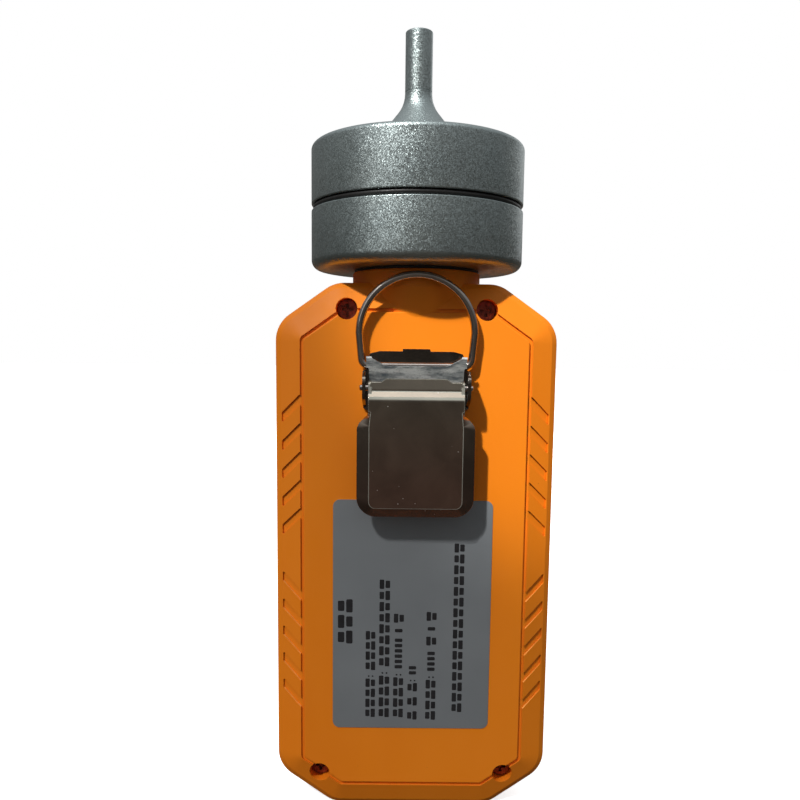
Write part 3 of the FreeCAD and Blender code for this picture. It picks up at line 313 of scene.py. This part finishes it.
def tumbled_steel():
    """Unpolished plated steel: grey-blue, pitted, with pale streaks across it as a painted highlight.
    """
    s = Shader("tumbled_steel", (0.42, 0.46, 0.48), Metallic=0.2, Roughness=0.42)
    # Painted highlight: soft streaks across the plate, from dark grey-blue to nearly white.
    pale_streaks = s.patches(0.0028, 4.0, 0.40, 0.60, roughness=0.7, vector=s.scaled(0.3, 1.0, 1.0))
    pit = s.noise(0.00045, 3.0, 0.7)
    colour = s.blend(pale_streaks, (0.20, 0.24, 0.265), (0.93, 0.97, 0.96))
    s.set("Base Color", s.blend(s.ramp(pit, 0.0, 0.6, 0.55, 0.75), colour, (0.12, 0.14, 0.16)))
    s.set("Roughness", s.ramp(pit, 0.34, 0.58, 0.3, 0.7))
    s.bump(pit, 0.00008, 0.8, edge=0.00012)
    return s.material


def screw_steel(name, dark, light):
    """Plated screw steel, a little duller in small patches."""
    s = Shader(name, light, Metallic=0.85, Roughness=0.38)
    wear = s.patches(0.0012, 3.0, 0.35, 0.65)
    s.set("Base Color", s.blend(wear, dark, light))
    s.set("Roughness", s.ramp(wear, 0.27, 0.44))
    s.bump(s.noise(0.0003), 0.00002, 0.5, edge=0.00010)
    return s.material


def label_film():
    """Satin silver film: very fine vertical brushing and a faint ripple from the glue."""
    s = Shader("label_film", (0.22, 0.24, 0.26), Metallic=0.35, Roughness=0.42)
    brush = s.noise(0.0002, 2.0, 0.6, vector=s.scaled(1.0, 1.0, 0.03))
    colour = s.blend(s.patches(0.02, 2.0), (0.25, 0.272, 0.292), (0.295, 0.32, 0.342))
    s.set("Base Color", s.blend(s.ramp(brush, 0.0, 0.30), colour, (0.27, 0.285, 0.305)))
    s.set("Roughness", s.ramp(brush, 0.36, 0.50))
    s.bump(s.noise(0.008, 2.0), 0.0001, 0.25)
    return s.material


def grainy(name, dark, light, roughness, size=0.0006, depth=0.00003, edge=0.00012, **sockets):
    """Plain moulded or painted surface: two close tones, uneven gloss and a fine grain."""
    s = Shader(name, light, Roughness=roughness, **sockets)
    s.set("Base Color", s.blend(s.patches(size * 9), dark, light))
    grain = s.noise(size, 3.0, 0.6)
    s.set("Roughness", s.ramp(grain, roughness - 0.07, roughness + 0.09, 0.3, 0.7))
    s.bump(grain, depth, 0.6, edge=edge)
    return s.material


def clear_window():
    """Clear acrylic with faint finger smears."""
    s = Shader("clear_window", (0.93, 0.95, 0.95), Roughness=0.02, IOR=1.49)
    s.set("Transmission Weight", 1.0)
    smear = s.noise(0.012, 3.0, 0.6, distortion=1.0)
    s.set("Roughness", s.ramp(smear, 0.01, 0.07, 0.45, 0.75))
    return s.material


def clear_hose():
    """Milky silicone tube, unevenly matt."""
    s = Shader("clear_hose", (0.85, 0.90, 0.92), Roughness=0.2, IOR=1.41)
    s.set("Transmission Weight", 0.8)
    s.set("Roughness", s.ramp(s.noise(0.002), 0.15, 0.35))
    return s.material


def lcd_glass():
    """Reflective liquid-crystal cell: grey-green with a faint pixel grid."""
    s = Shader("lcd_glass", (0.42, 0.50, 0.36), Roughness=0.25)
    across, up = (s.math("PINGPONG", s.math("DIVIDE", s.axis(n), 0.00035), 0.5) for n in "XZ")
    grid = s.math("LESS_THAN", s.math("MINIMUM", across, up), 0.06)
    colour = s.blend(s.patches(0.02, 2.0), (0.40, 0.49, 0.34), (0.46, 0.54, 0.40))
    s.set("Base Color", s.blend(s.math("MULTIPLY", grid, 0.25), colour, (0.25, 0.31, 0.22)))
    return s.material


def red_lens():
    """Clear red plastic with upright ribs, 1.2 mm apart."""
    s = Shader("red_lens", (0.75, 0.02, 0.012), Roughness=0.16, IOR=1.5)
    s.set("Transmission Weight", 0.45)
    rib = s.math("PINGPONG", s.math("DIVIDE", s.axis("X"), 0.0012), 0.5)
    s.set("Base Color", s.blend(s.noise(0.003), (0.62, 0.012, 0.008), (0.85, 0.03, 0.015)))
    s.bump(rib, 0.00025, 0.5, edge=0.0002)
    return s.material


SLOTS = {
    "orange_plastic": orange_plastic(),
    "black_rubber": grainy("black_rubber", (0.008, 0.008, 0.008), (0.016, 0.016, 0.016), 0.42),
    "zinc_steel": screw_steel("zinc_steel", (0.33, 0.33, 0.32), (0.52, 0.51, 0.49)),
    "label_film": label_film(),
    "blasted_aluminium": blasted_aluminium(),
    "black_nickel": black_nickel("black_nickel", (0.40, 0.365, 0.34), (0.56, 0.51, 0.47)),
    "overlay_film": grainy("overlay_film", (0.010, 0.011, 0.012), (0.017, 0.018, 0.020), 0.38, 0.0003),
    "clear_window": clear_window(),
    "lcd_glass": lcd_glass(),
    "red_lens": red_lens(),
    "key_rubber": grainy("key_rubber", (0.045, 0.047, 0.05), (0.07, 0.072, 0.076), 0.55, 0.0004),
    "board_green": grainy("board_green", (0.008, 0.09, 0.03), (0.014, 0.13, 0.045), 0.3, 0.001),
    "dark_plastic": grainy("dark_plastic", (0.018, 0.018, 0.02), (0.03, 0.03, 0.033), 0.45),
    "motor_can": grainy("motor_can", (0.42, 0.43, 0.44), (0.58, 0.59, 0.6), 0.28, Metallic=1.0),
    "battery_wrap": grainy("battery_wrap", (0.02, 0.09, 0.30), (0.03, 0.12, 0.38), 0.3, 0.001),
    "clear_hose": clear_hose(),
    "brass_fitting": grainy("brass_fitting", (0.55, 0.36, 0.12), (0.72, 0.5, 0.2), 0.3, Metallic=1.0),
    "sensor_body": grainy("sensor_body", (0.62, 0.62, 0.58), (0.74, 0.74, 0.7), 0.5),
    "white_filter": grainy("white_filter", (0.72, 0.72, 0.70), (0.84, 0.84, 0.82), 0.8, 0.0003),
}
# Painted shade and painted light for the walls of the covers' groove and channels.
PAINTED_SHADE_WALL = orange_painted_wall(
    "orange_painted_shade", (0.24, 0.003, 0.001), (0.34, 0.008, 0.001),
    Roughness=0.6, Specular_IOR_Level=0.1,
)
PAINTED_LIGHT_WALL = orange_painted_wall("orange_painted_light", (0.96, 0.38, 0.06), (0.99, 0.48, 0.11), Roughness=0.4)
THREAD = thread_metal()
LEVER_PLATE = black_nickel("lever_plate", (0.33, 0.275, 0.235), (0.43, 0.355, 0.30), tint_highlight_and_dust=True)
# Painted shade: the clip's base plate is a darker copy of the nickel, for the shade behind the keeper
# and the lever.
SHADED_BASE_PLATE = black_nickel("base_plate_painted_shade", (0.15, 0.13, 0.11), (0.24, 0.21, 0.18))
STEEL = tumbled_steel()
# Painted shade: the case screws deep in their wells are painted dark red, with a painted red
# reflection of the wells' orange walls.
SHADED_SCREW = screw_steel("screw_painted_shade", (0.20, 0.050, 0.035), (0.34, 0.11, 0.08))
INK = grainy("label_ink", (0.010, 0.010, 0.012), (0.018, 0.018, 0.021), 0.5, 0.0003)
PALE_INK = grainy("pale_ink", (0.70, 0.71, 0.72), (0.80, 0.81, 0.82), 0.5, 0.0003)
LCD_INK = grainy("lcd_ink", (0.012, 0.016, 0.012), (0.02, 0.026, 0.02), 0.3, 0.0003)

# ---- pieces ---------------------------------------------------------------------------------

# The first part of a CAD material's name is the record's slot, which names the finish above.
RECORD_SLOTS = {}
for node_name, node_object in frame["nodes"].items():
    names = [s.material.name for s in node_object.material_slots if s.material]
    RECORD_SLOTS[node_name] = next(n.split(".")[0] for n in names)
    for material_slot in node_object.material_slots:
        material_slot.material = SLOTS[RECORD_SLOTS[node_name]]


def add(name, mesh, body, materials):
    """A new piece that rides on a body."""
    piece = bpy.data.objects.new(name, mesh)
    SCENE.collection.objects.link(piece)
    for material in materials:
        mesh.materials.append(material)
    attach(piece, body)
    return piece


def refinished(node, materials, choose):
    """A copy of a CAD node whose faces take one of several materials, chosen from each face's
    centre and normal."""
    source = frame["nodes"][node]
    mesh = source.data.copy()
    mesh.materials.clear()
    body = body_of(source)[0]
    piece = add(node + "_finish", mesh, body, materials)
    count = len(mesh.polygons)
    centres, normals = np.empty(count * 3), np.empty(count * 3)
    mesh.polygons.foreach_get("center", centres)
    mesh.polygons.foreach_get("normal", normals)
    turn = np.array(source.matrix_world)
    centres = centres.reshape(-1, 3) @ turn[:3, :3].T + turn[:3, 3]
    index = choose(centres, normals.reshape(-1, 3) @ turn[:3, :3].T)
    mesh.polygons.foreach_set("material_index", index.astype(np.int32))
    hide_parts(node)
    return piece


def cover_faces(centres, normals):
    """For each face of a cover: 0 plain, 1 painted shade or 2 painted light. The groove's walls that
    face out and the channel walls that look down get painted shade, and the channel walls that look up
    get painted light."""
    channel_from, channel_reach, channel_depth = 26 * MM, 44 * MM, 3.4 * MM
    groove_width, groove_reach, groove_top, groove_bottom = 30 * MM, 63 * MM, 0.2 * MM, 0.8 * MM
    low, high = centres[:, 1].min(), centres[:, 1].max()
    panel = low if abs(low) > abs(high) else high
    depth = np.abs(centres[:, 1] - panel)
    across = np.abs(centres[:, 0])
    rise = centres[:, 2] - CASE_MIDDLE
    reach = np.abs(rise)
    wall = np.abs(normals[:, 1]) < 0.55
    outward = centres[:, 0] * normals[:, 0] + rise * normals[:, 2] > 0
    channel = wall & (across > channel_from) & (reach < channel_reach) & (depth < channel_depth)
    groove = wall & (depth > groove_top) & (depth < groove_bottom)
    groove &= (across < groove_width) & (reach < groove_reach) & outward
    # Painted shade on walls that face out or down, painted light on walls that face up.
    dark = groove | (channel & (normals[:, 2] < -0.25))
    light = channel & (normals[:, 2] > 0.25)
    return dark * 1 + light * 2


for cover in ("rear_cover", "front_cover"):
    refinished(cover, [SLOTS["orange_plastic"], PAINTED_SHADE_WALL, PAINTED_LIGHT_WALL], cover_faces)


def lathe(name, body, materials, profile, chosen=None, cut=None, steps=192):
    """A turned piece about Z from a closed profile of (radius, z, rounding) corners in
    millimetres. Chosen picks the faces of the second material by their centres. Cut gives what
    is taken off the radius at a radius, a height and a share of a turn."""
    points = rounded_profile([[part * MM for part in corner] for corner in profile])
    bm = bmesh.new()
    rings = []
    for radius, z in points:
        ring = []
        for step in range(steps):
            angle = 2 * math.pi * step / steps
            reach = radius - (cut(radius, z, step / steps) if cut else 0.0)
            ring.append(bm.verts.new((reach * math.cos(angle), reach * math.sin(angle), z)))
        rings.append(ring)
    for index, ring in enumerate(rings):
        other = rings[(index + 1) % len(rings)]
        for step in range(steps):
            after = (step + 1) % steps
            face = bm.faces.new((ring[step], other[step], other[after], ring[after]))
            face.smooth = True
            if chosen and chosen(face.calc_center_median()):
                face.material_index = 1
    bmesh.ops.recalc_face_normals(bm, faces=bm.faces)
    for edge in bm.edges:
        if len(edge.link_faces) == 2 and edge.calc_face_angle(0.0) > math.radians(28):
            edge.smooth = False
    mesh = bpy.data.meshes.new(name)
    bm.to_mesh(mesh)
    bm.free()
    return add(name, mesh, body, materials)


def rounded_profile(corners, arc_step=math.radians(9)):
    """Points along a closed profile of (r, z, rounding) corners, with arcs at the corners."""
    points = []
    for index, (r, z, rounding) in enumerate(corners):
        here = Vector((r, z))
        if rounding == 0:
            points.append(here)
            continue
        back = (Vector(corners[index - 1][:2]) - here).normalized()
        ahead = (Vector(corners[(index + 1) % len(corners)][:2]) - here).normalized()
        half = back.angle(ahead) / 2
        reach = rounding / math.tan(half)
        centre = here + (back + ahead).normalized() * (rounding / math.sin(half))
        start, end = here + back * reach - centre, here + ahead * reach - centre
        turn = start.angle_signed(end)
        count = max(2, math.ceil(abs(turn) / arc_step))
        for step in range(count + 1):
            angle = -turn * step / count
            rotated = Matrix.Rotation(angle, 2) @ start
            points.append(centre + rotated)
    return points


BASE_LOW, BASE_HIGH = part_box("chamber_base")
CAP_LOW, CAP_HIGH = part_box("chamber_cap")
CHAMBER_METALS = [SLOTS["blasted_aluminium"], THREAD]
# Millimetres from here to the end of the chamber's two pieces.
CHAMBER_RADIUS = BASE_HIGH.x / MM
SPIGOT = CHAMBER_RADIUS - 1.9
GASKET_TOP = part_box("neck_gasket")[1].z / MM


def chamber_base():
    """The cup: a stud into the neck, a rounded outside, and a threaded spigot above the rim."""
    seal_gap, stud, hole, floor = 1.5, 7.0, 3.0, 2.0
    bore, top = CHAMBER_RADIUS - 3.2, BASE_HIGH.z / MM
    rim = sum(corner.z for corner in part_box("chamber_seal")) / 2 / MM - seal_gap / 2
    pitch, thread_depth, runout = 1.5, 0.5, 0.45
    thread_low, thread_high = rim + 1.9, top - 0.6
    levels = round((thread_high - thread_low) / pitch * 10)
    climbs = [thread_low + (thread_high - thread_low) * n / levels for n in range(levels + 1)]
    profile = [
        (hole, BASE_LOW.z / MM, 0),
        (stud, BASE_LOW.z / MM, 0.4),
        (stud, GASKET_TOP, 0),
        (CHAMBER_RADIUS - 2.6, GASKET_TOP, 0),
        (CHAMBER_RADIUS, GASKET_TOP, 2.4),
        (CHAMBER_RADIUS, rim, 0.25),
        (SPIGOT, rim, 0.15),
        *((SPIGOT, z, 0) for z in climbs),
        (SPIGOT, top, 0.4),
        (bore, top, 0.2),
        (bore, GASKET_TOP + floor, 0.5),
        (hole, GASKET_TOP + floor, 0),
    ]

    def bright(centre):
        """The spigot and the inside, which are turned and not blasted."""
        inside = math.hypot(centre.x, centre.y) < (SPIGOT + 0.01) * MM
        return inside and centre.z > (rim + 0.2) * MM

    def thread(radius, z, turned):
        """A V groove that climbs one pitch a turn and runs out at both ends."""
        height = z / MM
        if abs(radius / MM - SPIGOT) > 0.001 or not thread_low <= height <= thread_high:
            return 0.0
        phase = (height / pitch - turned) % 1.0
        ends = min(height - thread_low, thread_high - height) / runout
        return thread_depth * MM * (1 - abs(2 * phase - 1)) * min(1.0, ends)

    piece = lathe("chamber_base_turned", "case", CHAMBER_METALS, profile, bright, thread)
    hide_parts("chamber_base")


def chamber_cap():
    """The screw cap: a flat face, a cone that flares up into the hose nozzle, and a mark round
    the nozzle where the flare ends."""
    low, top = CAP_LOW.z / MM, CAP_HIGH.z / MM
    face, skirt_top, roof = low + 14.9, low + 9.2, 2.0
    inner, chamber = SPIGOT + 0.1, CHAMBER_RADIUS - 3.9
    tube, hole, flare, slope = 3.5, 2.0, 8.0, math.radians(39)
    foot = face + 13.6
    cone_top = foot - flare * math.sin(slope)
    cone_foot = tube + flare * (1 - math.cos(slope)) + (cone_top - face) * math.tan(slope)
    mark_depth, mark_from, mark_to = 0.06, foot + 0.15, foot + 0.40
    profile = [
        (inner, low, 0.2),
        (CHAMBER_RADIUS, low, 0.3),
        (CHAMBER_RADIUS, face, 1.3),
        (cone_foot, face, 2.5),
        (tube, foot - flare * math.tan(slope / 2), flare),
        (tube, mark_from, 0),
        (tube - mark_depth, mark_from + 0.05, 0),
        (tube - mark_depth, mark_to - 0.05, 0),
        (tube, mark_to, 0),
        (tube, top, 0.35),
        (hole, top, 0.35),
        (hole, face - roof, 0),
        (chamber, face - roof, 0.4),
        (chamber, skirt_top, 0),
        (inner, skirt_top, 0.3),
    ]
    piece = lathe("chamber_cap_turned", "cap", CHAMBER_METALS, profile)
    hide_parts("chamber_cap")


chamber_base()
chamber_cap()

FINISHES = {
    "clip_lever": LEVER_PLATE,
    "clip_base": SHADED_BASE_PLATE,
    "ring_keeper": STEEL,
    "case_screws": SHADED_SCREW,
}
for node_name, finish in FINISHES.items():
    frame["nodes"][node_name].material_slots[0].material = finish


def printed(name, body, material, shapes, plane, facing):
    """Thin printed shapes on a plane square to Y. Each shape is a list of (u, v) corners in
    millimetres, with u to the right for someone who looks at the printed side."""
    bm = bmesh.new()
    for shape in shapes:
        sides = []
        for lift in (0.0, 0.02):
            y = plane + facing * lift * MM
            sides.append([bm.verts.new((-facing * u * MM, y, v * MM)) for u, v in shape])
        bm.faces.new(sides[1])
        bm.faces.new(list(reversed(sides[0])))
        for index in range(len(shape)):
            after = (index + 1) % len(shape)
            bm.faces.new((sides[0][index], sides[0][after], sides[1][after], sides[1][index]))
    bmesh.ops.recalc_face_normals(bm, faces=bm.faces)
    mesh = bpy.data.meshes.new(name)
    bm.to_mesh(mesh)
    bm.free()
    return add(name, mesh, body, [material])


def bar(u, v, width, height, round_part=0.35):
    """Rounded rectangle from its lower left corner."""
    steps, radius = 4, min(width, height) * round_part
    shape = []
    for cu, cv, start in (
        (u + width - radius, v + radius, -90),
        (u + width - radius, v + height - radius, 0),
        (u + radius, v + height - radius, 90),
        (u + radius, v + radius, 180),
    ):
        for step in range(steps + 1):
            angle = math.radians(start + 90 * step / steps)
            shape.append((cu + radius * math.cos(angle), cv + radius * math.sin(angle)))
    return shape


def ring_shape(u, v, outer, inner, start, end, steps=28):
    """Open ring between two angles in degrees, as one outline."""
    shape = []
    for radius, order in ((outer, range(steps + 1)), (inner, range(steps, -1, -1))):
        for step in order:
            angle = math.radians(start + (end - start) * step / steps)
            shape.append((u + radius * math.cos(angle), v + radius * math.sin(angle)))
    return shape


def label_print():
    """Rows of plain blocks that run up the label, in the place of its wording. In a pattern, #
    is a full block, | a narrow one and : a pair of dots."""
    low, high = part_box("rating_label")
    left, bottom = low.x / MM, low.z / MM
    # Each row's middle from the label's left, its start from the bottom, its size and pattern.
    rows = [
        (3.2, 22.9, 3.8, "###"),
        (9.8, 2.9, 2.5, "####: ####"),
        (13.4, 2.9, 2.7, "####: ########"),
        (17.1, 2.9, 2.6, "####: |||||| | #"),
        (20.8, 2.3, 2.5, "# # #: ||"),
        (25.6, 2.3, 2.6, "####: |||| # | #"),
        (32.5, 4.5, 2.6, "################"),
    ]
    shapes = []
    for across, start, size, pattern in rows:
        edge, at = left + across - size / 2, bottom + start
        for index, sign in enumerate(pattern):
            if sign == "#":
                long, short = (0.0, 0.56) if index % 2 else (0.56, 0.0)
                shapes.append(bar(edge + size * long, at, size * 0.44, size * 0.92, 0.2))
                shapes.append(bar(edge + size * short, at + size * 0.1, size * 0.44, size * 0.72, 0.2))
                at += size * 1.1
            elif sign == "|":
                shapes.append(bar(edge + size * 0.12, at, size * 0.76, size * 0.36, 0.3))
                at += size * 0.55
            elif sign == ":":
                for place in (0.25, 0.65):
                    shapes.append(bar(edge + size * place, at, size * 0.17, size * 0.17))
                at += size * 0.3
            else:
                at += size * 0.45
    printed("label_print", "case", INK, shapes, low.y, -1)


SEGMENTS = {
    "0": "abcdef",
    "2": "abged",
    "9": "abcdfg",
}


def digit_shapes(text, u, v, height):
    """Seven-segment numbers, each segment a bar of its own. They lean slightly."""
    shapes = []
    width, thick = height * 0.52, height * 0.11
    half, gap, t = height / 2, height * 0.02, thick / 2

    def flat(y):
        a, b = gap, width - gap
        return [(a, y), (a + t, y - t), (b - t, y - t), (b, y), (b - t, y + t), (a + t, y + t)]

    def upright(x, y0, y1):
        a, b = y0 + gap, y1 - gap
        return [(x, a), (x + t, a + t), (x + t, b - t), (x, b), (x - t, b - t), (x - t, a + t)]

    places = {
        "a": flat(height),
        "g": flat(half),
        "d": flat(0.0),
        "f": upright(0.0, half, height),
        "b": upright(width, half, height),
        "e": upright(0.0, 0.0, half),
        "c": upright(width, 0.0, half),
    }
    at = u
    for character in text:
        if character == ".":
            shapes.append(bar(at - height * 0.17, v - t, thick * 1.2, thick * 1.2))
            continue
        for segment in SEGMENTS[character]:
            shapes.append([(at + x + y * 0.08, v + y) for x, y in places[segment]])
        at += width + height * 0.3
    return shapes


def display_print():
    """Four readings in a two-by-two grid, and a battery sign with four bars."""
    low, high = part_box("lcd_module")
    middle = (low.z + high.z) / 2 / MM
    line, square = 0.25, 0.1
    shapes = [
        bar(-20.0, middle - 1.9, 40.0, line, square),
        bar(-0.12, middle - 13.6, line, 26.0, square),
    ]
    for text, u, v in (
        ("0.0", -16.5, middle + 1.4),
        ("20.9", 2.4, middle + 1.4),
        ("0", -10.5, middle - 12.6),
        ("0", 10.0, middle - 12.6),
    ):
        shapes += digit_shapes(text, u, v, 7.4)
    battery, foot = 12.6, middle + 12.6
    shapes += [bar(battery + 0.2, foot + rise, 5.2, 0.35, square) for rise in (0.0, 2.3)]
    shapes += [bar(battery + along, foot, 0.4, 2.65, square) for along in (0.0, 5.2)]
    shapes += [bar(battery + 5.7, foot + 0.7, 0.5, 1.2, square)]
    shapes += [bar(battery + 0.7 + 1.1 * n, foot + 0.6, 0.8, 1.4, square) for n in range(4)]
    printed("display_print", "case", LCD_INK, shapes, high.y, 1)


def key_sign(name, u, v):
    """A switch sign, a bent arrow, or an arrow up or down, about a middle in millimetres."""
    if name == "power_button":
        return [ring_shape(u, v, 1.75, 1.35, 125, 415), bar(u - 0.2, v + 0.2, 0.4, 1.9, 0.4)]
    if name == "enter_button":
        stem = [bar(u - 0.9, v - 0.95, 2.6, 0.4, 0.1), bar(u + 1.3, v - 0.95, 0.4, 2.2, 0.1)]
        return stem + [[(u - 1.9, v - 0.75), (u - 0.7, v - 1.6), (u - 0.7, v + 0.1)]]
    tip = 1.3 if name == "up_button" else -1.3
    return [[(u - 1.6, v - tip * 0.8), (u + 1.6, v - tip * 0.8), (u, v + tip)]]


def button_prints():
    """The sign on each key, which moves with the key."""
    for name, body in KEYS.items():
        low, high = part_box(name)
        u, v = -(low.x + high.x) / 2 / MM, (low.z + high.z) / 2 / MM
        printed(name + "_sign", body, PALE_INK, key_sign(name, u, v), high.y, 1)


def overlay_print():
    """A fine pale line round the overlay and a short bar over each key."""
    inset, line, corner, square = 1.0, 0.25, 3.0, 0.1
    low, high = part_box("front_overlay")
    left, right = low.x / MM + inset, high.x / MM - inset
    bottom, top = low.z / MM + inset, high.z / MM - inset
    wide, tall = right - left - 2 * corner, top - bottom - 2 * corner
    shapes = [
        bar(left + corner, top - line, wide, line, square),
        bar(left + corner, bottom, wide, line, square),
        bar(left, bottom + corner, line, tall, square),
        bar(right - line, bottom + corner, line, tall, square),
    ]
    for u, v, start in (
        (right - corner, top - corner, 0),
        (left + corner, top - corner, 90),
        (left + corner, bottom + corner, 180),
        (right - corner, bottom + corner, 270),
    ):
        shapes.append(ring_shape(u, v, corner, corner - line, start, start + 90, 10))
    for name in KEYS:
        key_low, key_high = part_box(name)
        u = -(key_low.x + key_high.x) / 2 / MM
        shapes.append(bar(u - 2.6, key_high.z / MM + 1.6, 5.2, 0.7))
    printed("overlay_print", "case", PALE_INK, shapes, high.y, 1)


label_print()
display_print()
button_prints()
overlay_print()

# ---- stage ----------------------------------------------------------------------------------


def stage_material(name, colour, bounce, front, side):
    """Pale paper. Polished metal mirrors it dimmer: brown in front of the object, and nearly
    black to the sides, as between a photographer and two black screens."""
    s = Shader(name, colour, Roughness=0.9, Emission_Color=(1.0, 1.0, 1.0, 1.0))
    paper = s.blend(s.noise(0.004, 3.0), tuple(c * 0.97 for c in colour), colour)
    across = s.math("ABSOLUTE", s.axis("X"))
    along = s.math("MAXIMUM", s.math("ABSOLUTE", s.axis("Y")), 0.05)
    beside = s.ramp(s.math("DIVIDE", across, along), 0.0, 1.0, 0.45, 1.3)
    mirrored = s.blend(beside, front, side)
    rays = s.node("LightPath").outputs
    unseen = s.blend(rays["Is Glossy Ray"], bounce, mirrored)
    s.set("Base Color", s.blend(rays["Is Camera Ray"], unseen, paper))
    s.set("Emission Strength", s.math("MULTIPLY", rays["Is Camera Ray"], 0.75))
    return s.material


def make_floor():
    """A round sheet of pale paper just under the object."""
    bm = bmesh.new()
    bmesh.ops.create_circle(bm, cap_ends=True, radius=8.0, segments=96)
    bmesh.ops.translate(bm, verts=bm.verts, vec=(0, 0, CAD_BOX[0].z - 0.0002))
    mesh = bpy.data.meshes.new("floor")
    bm.to_mesh(mesh)
    bm.free()
    paper, bounce = (0.97, 0.97, 0.965), (0.08, 0.08, 0.08)
    front, side = (0.066, 0.050, 0.038), (0.020, 0.019, 0.014)
    mesh.materials.append(stage_material("floor_paper", paper, bounce, front, side))
    floor = bpy.data.objects.new("floor", mesh)
    SCENE.collection.objects.link(floor)


def make_world():
    """White behind the object, and a dim room with a bright ceiling for light and reflections."""
    world = bpy.data.worlds.new("studio")
    world.use_nodes = True
    tree = world.node_tree
    tree.nodes.clear()

    def node(kind, **settings):
        made = tree.nodes.new("ShaderNode" + kind)
        for key, value in settings.items():
            setattr(made, key, value)
        return made

    output, background = node("OutputWorld"), node("Background")
    tree.links.new(background.outputs[0], output.inputs["Surface"])
    split = node("SeparateXYZ")
    tree.links.new(node("TexCoord").outputs["Generated"], split.inputs[0])
    ramp = node("ValToRGB")
    tree.links.new(split.outputs["Z"], ramp.inputs[0])
    ramp.color_ramp.elements[0].position = 0.05
    ramp.color_ramp.elements[0].color = (0.07, 0.065, 0.06, 1)
    ramp.color_ramp.elements[1].position = 0.75
    ramp.color_ramp.elements[1].color = (0.46, 0.47, 0.48, 1)
    mix = node("Mix", data_type="RGBA")
    tree.links.new(node("LightPath").outputs["Is Camera Ray"], mix.inputs[0])
    tree.links.new(ramp.outputs[0], mix.inputs[6])
    mix.inputs[7].default_value = (1.0, 1.0, 1.0, 1)
    tree.links.new(mix.outputs[2], background.inputs["Color"])
    SCENE.world = world


def lamp(name, kind, place, energy, aim=(0.0, 0.0, 0.1), lights="all", **settings):
    """A lamp at a place, aimed at a point of the object and hidden from the camera. It lights
    everything, or only the "matte" or the "glossy" part of what surfaces send back."""
    light = bpy.data.lights.new(name, kind)
    light.energy = energy
    for key, value in settings.items():
        setattr(light, key, value)
    made = bpy.data.objects.new(name, light)
    SCENE.collection.objects.link(made)
    made.location = place
    made.rotation_mode = "QUATERNION"
    made.rotation_quaternion = (Vector(aim) - Vector(place)).to_track_quat("-Z", "Y")
    made.visible_camera = False
    made.visible_glossy = lights != "matte"
    made.visible_diffuse = lights != "glossy"


def make_lights():
    """A sun from the upper left in front, and a soft pool of its light on the case's upper right.
    The box and the ceiling light the metal, the fill lifts the shadows, and the edge and the
    back lamp light the display side."""
    sun = Vector((-0.379, -0.600, 0.705))
    middle, pool = Vector((0.0, 0.0, 0.1)), Vector((0.019, -0.015, 0.119))
    warm = (1.0, 0.98, 0.95)
    lamp("key", "SUN", middle + sun, 1.74, color=warm, angle=math.radians(4))
    lamp(
        "pool", "SPOT", pool + sun * 0.8, 25.5, aim=pool, lights="matte", color=warm,
        spot_size=math.radians(5.7), spot_blend=0.8, shadow_soft_size=0.008,
    )
    box = {"shape": "RECTANGLE", "size": 0.16, "size_y": 0.36}
    lamp("box", "AREA", (-0.34, -0.46, 0.32), 0.18, lights="glossy", **box)
    lamp("ceiling", "AREA", (0.0, -0.38, 0.95), 0.8, lights="glossy", shape="DISK", size=0.45)
    lamp("fill", "AREA", (0.75, -0.60, 0.30), 0.12, lights="matte", shape="DISK", size=0.6)
    lamp("edge", "AREA", (0.55, 0.75, 0.45), 0.4, lights="glossy", shape="DISK", size=0.5)
    lamp("back", "AREA", (0.25, 0.95, 0.50), 6.0, lights="matte", shape="DISK", size=0.6)


def make_camera():
    """A close camera in front of the clip side, above the middle, tilted 7 degrees down."""
    data = bpy.data.cameras.new("camera")
    data.sensor_width = 36.0
    data.lens = 36.975
    data.shift_y = 0.07
    data.clip_start, data.clip_end = 0.005, 20.0
    camera = bpy.data.objects.new("camera", data)
    SCENE.collection.objects.link(camera)
    camera.location = (-0.00464, -0.221502, 0.12027)
    camera.rotation_euler = [math.radians(angle) for angle in (82.969, -0.637, -0.149)]
    SCENE.camera = camera


make_floor()
make_world()
make_lights()
make_camera()
SCENE.view_settings.view_transform = "Standard"
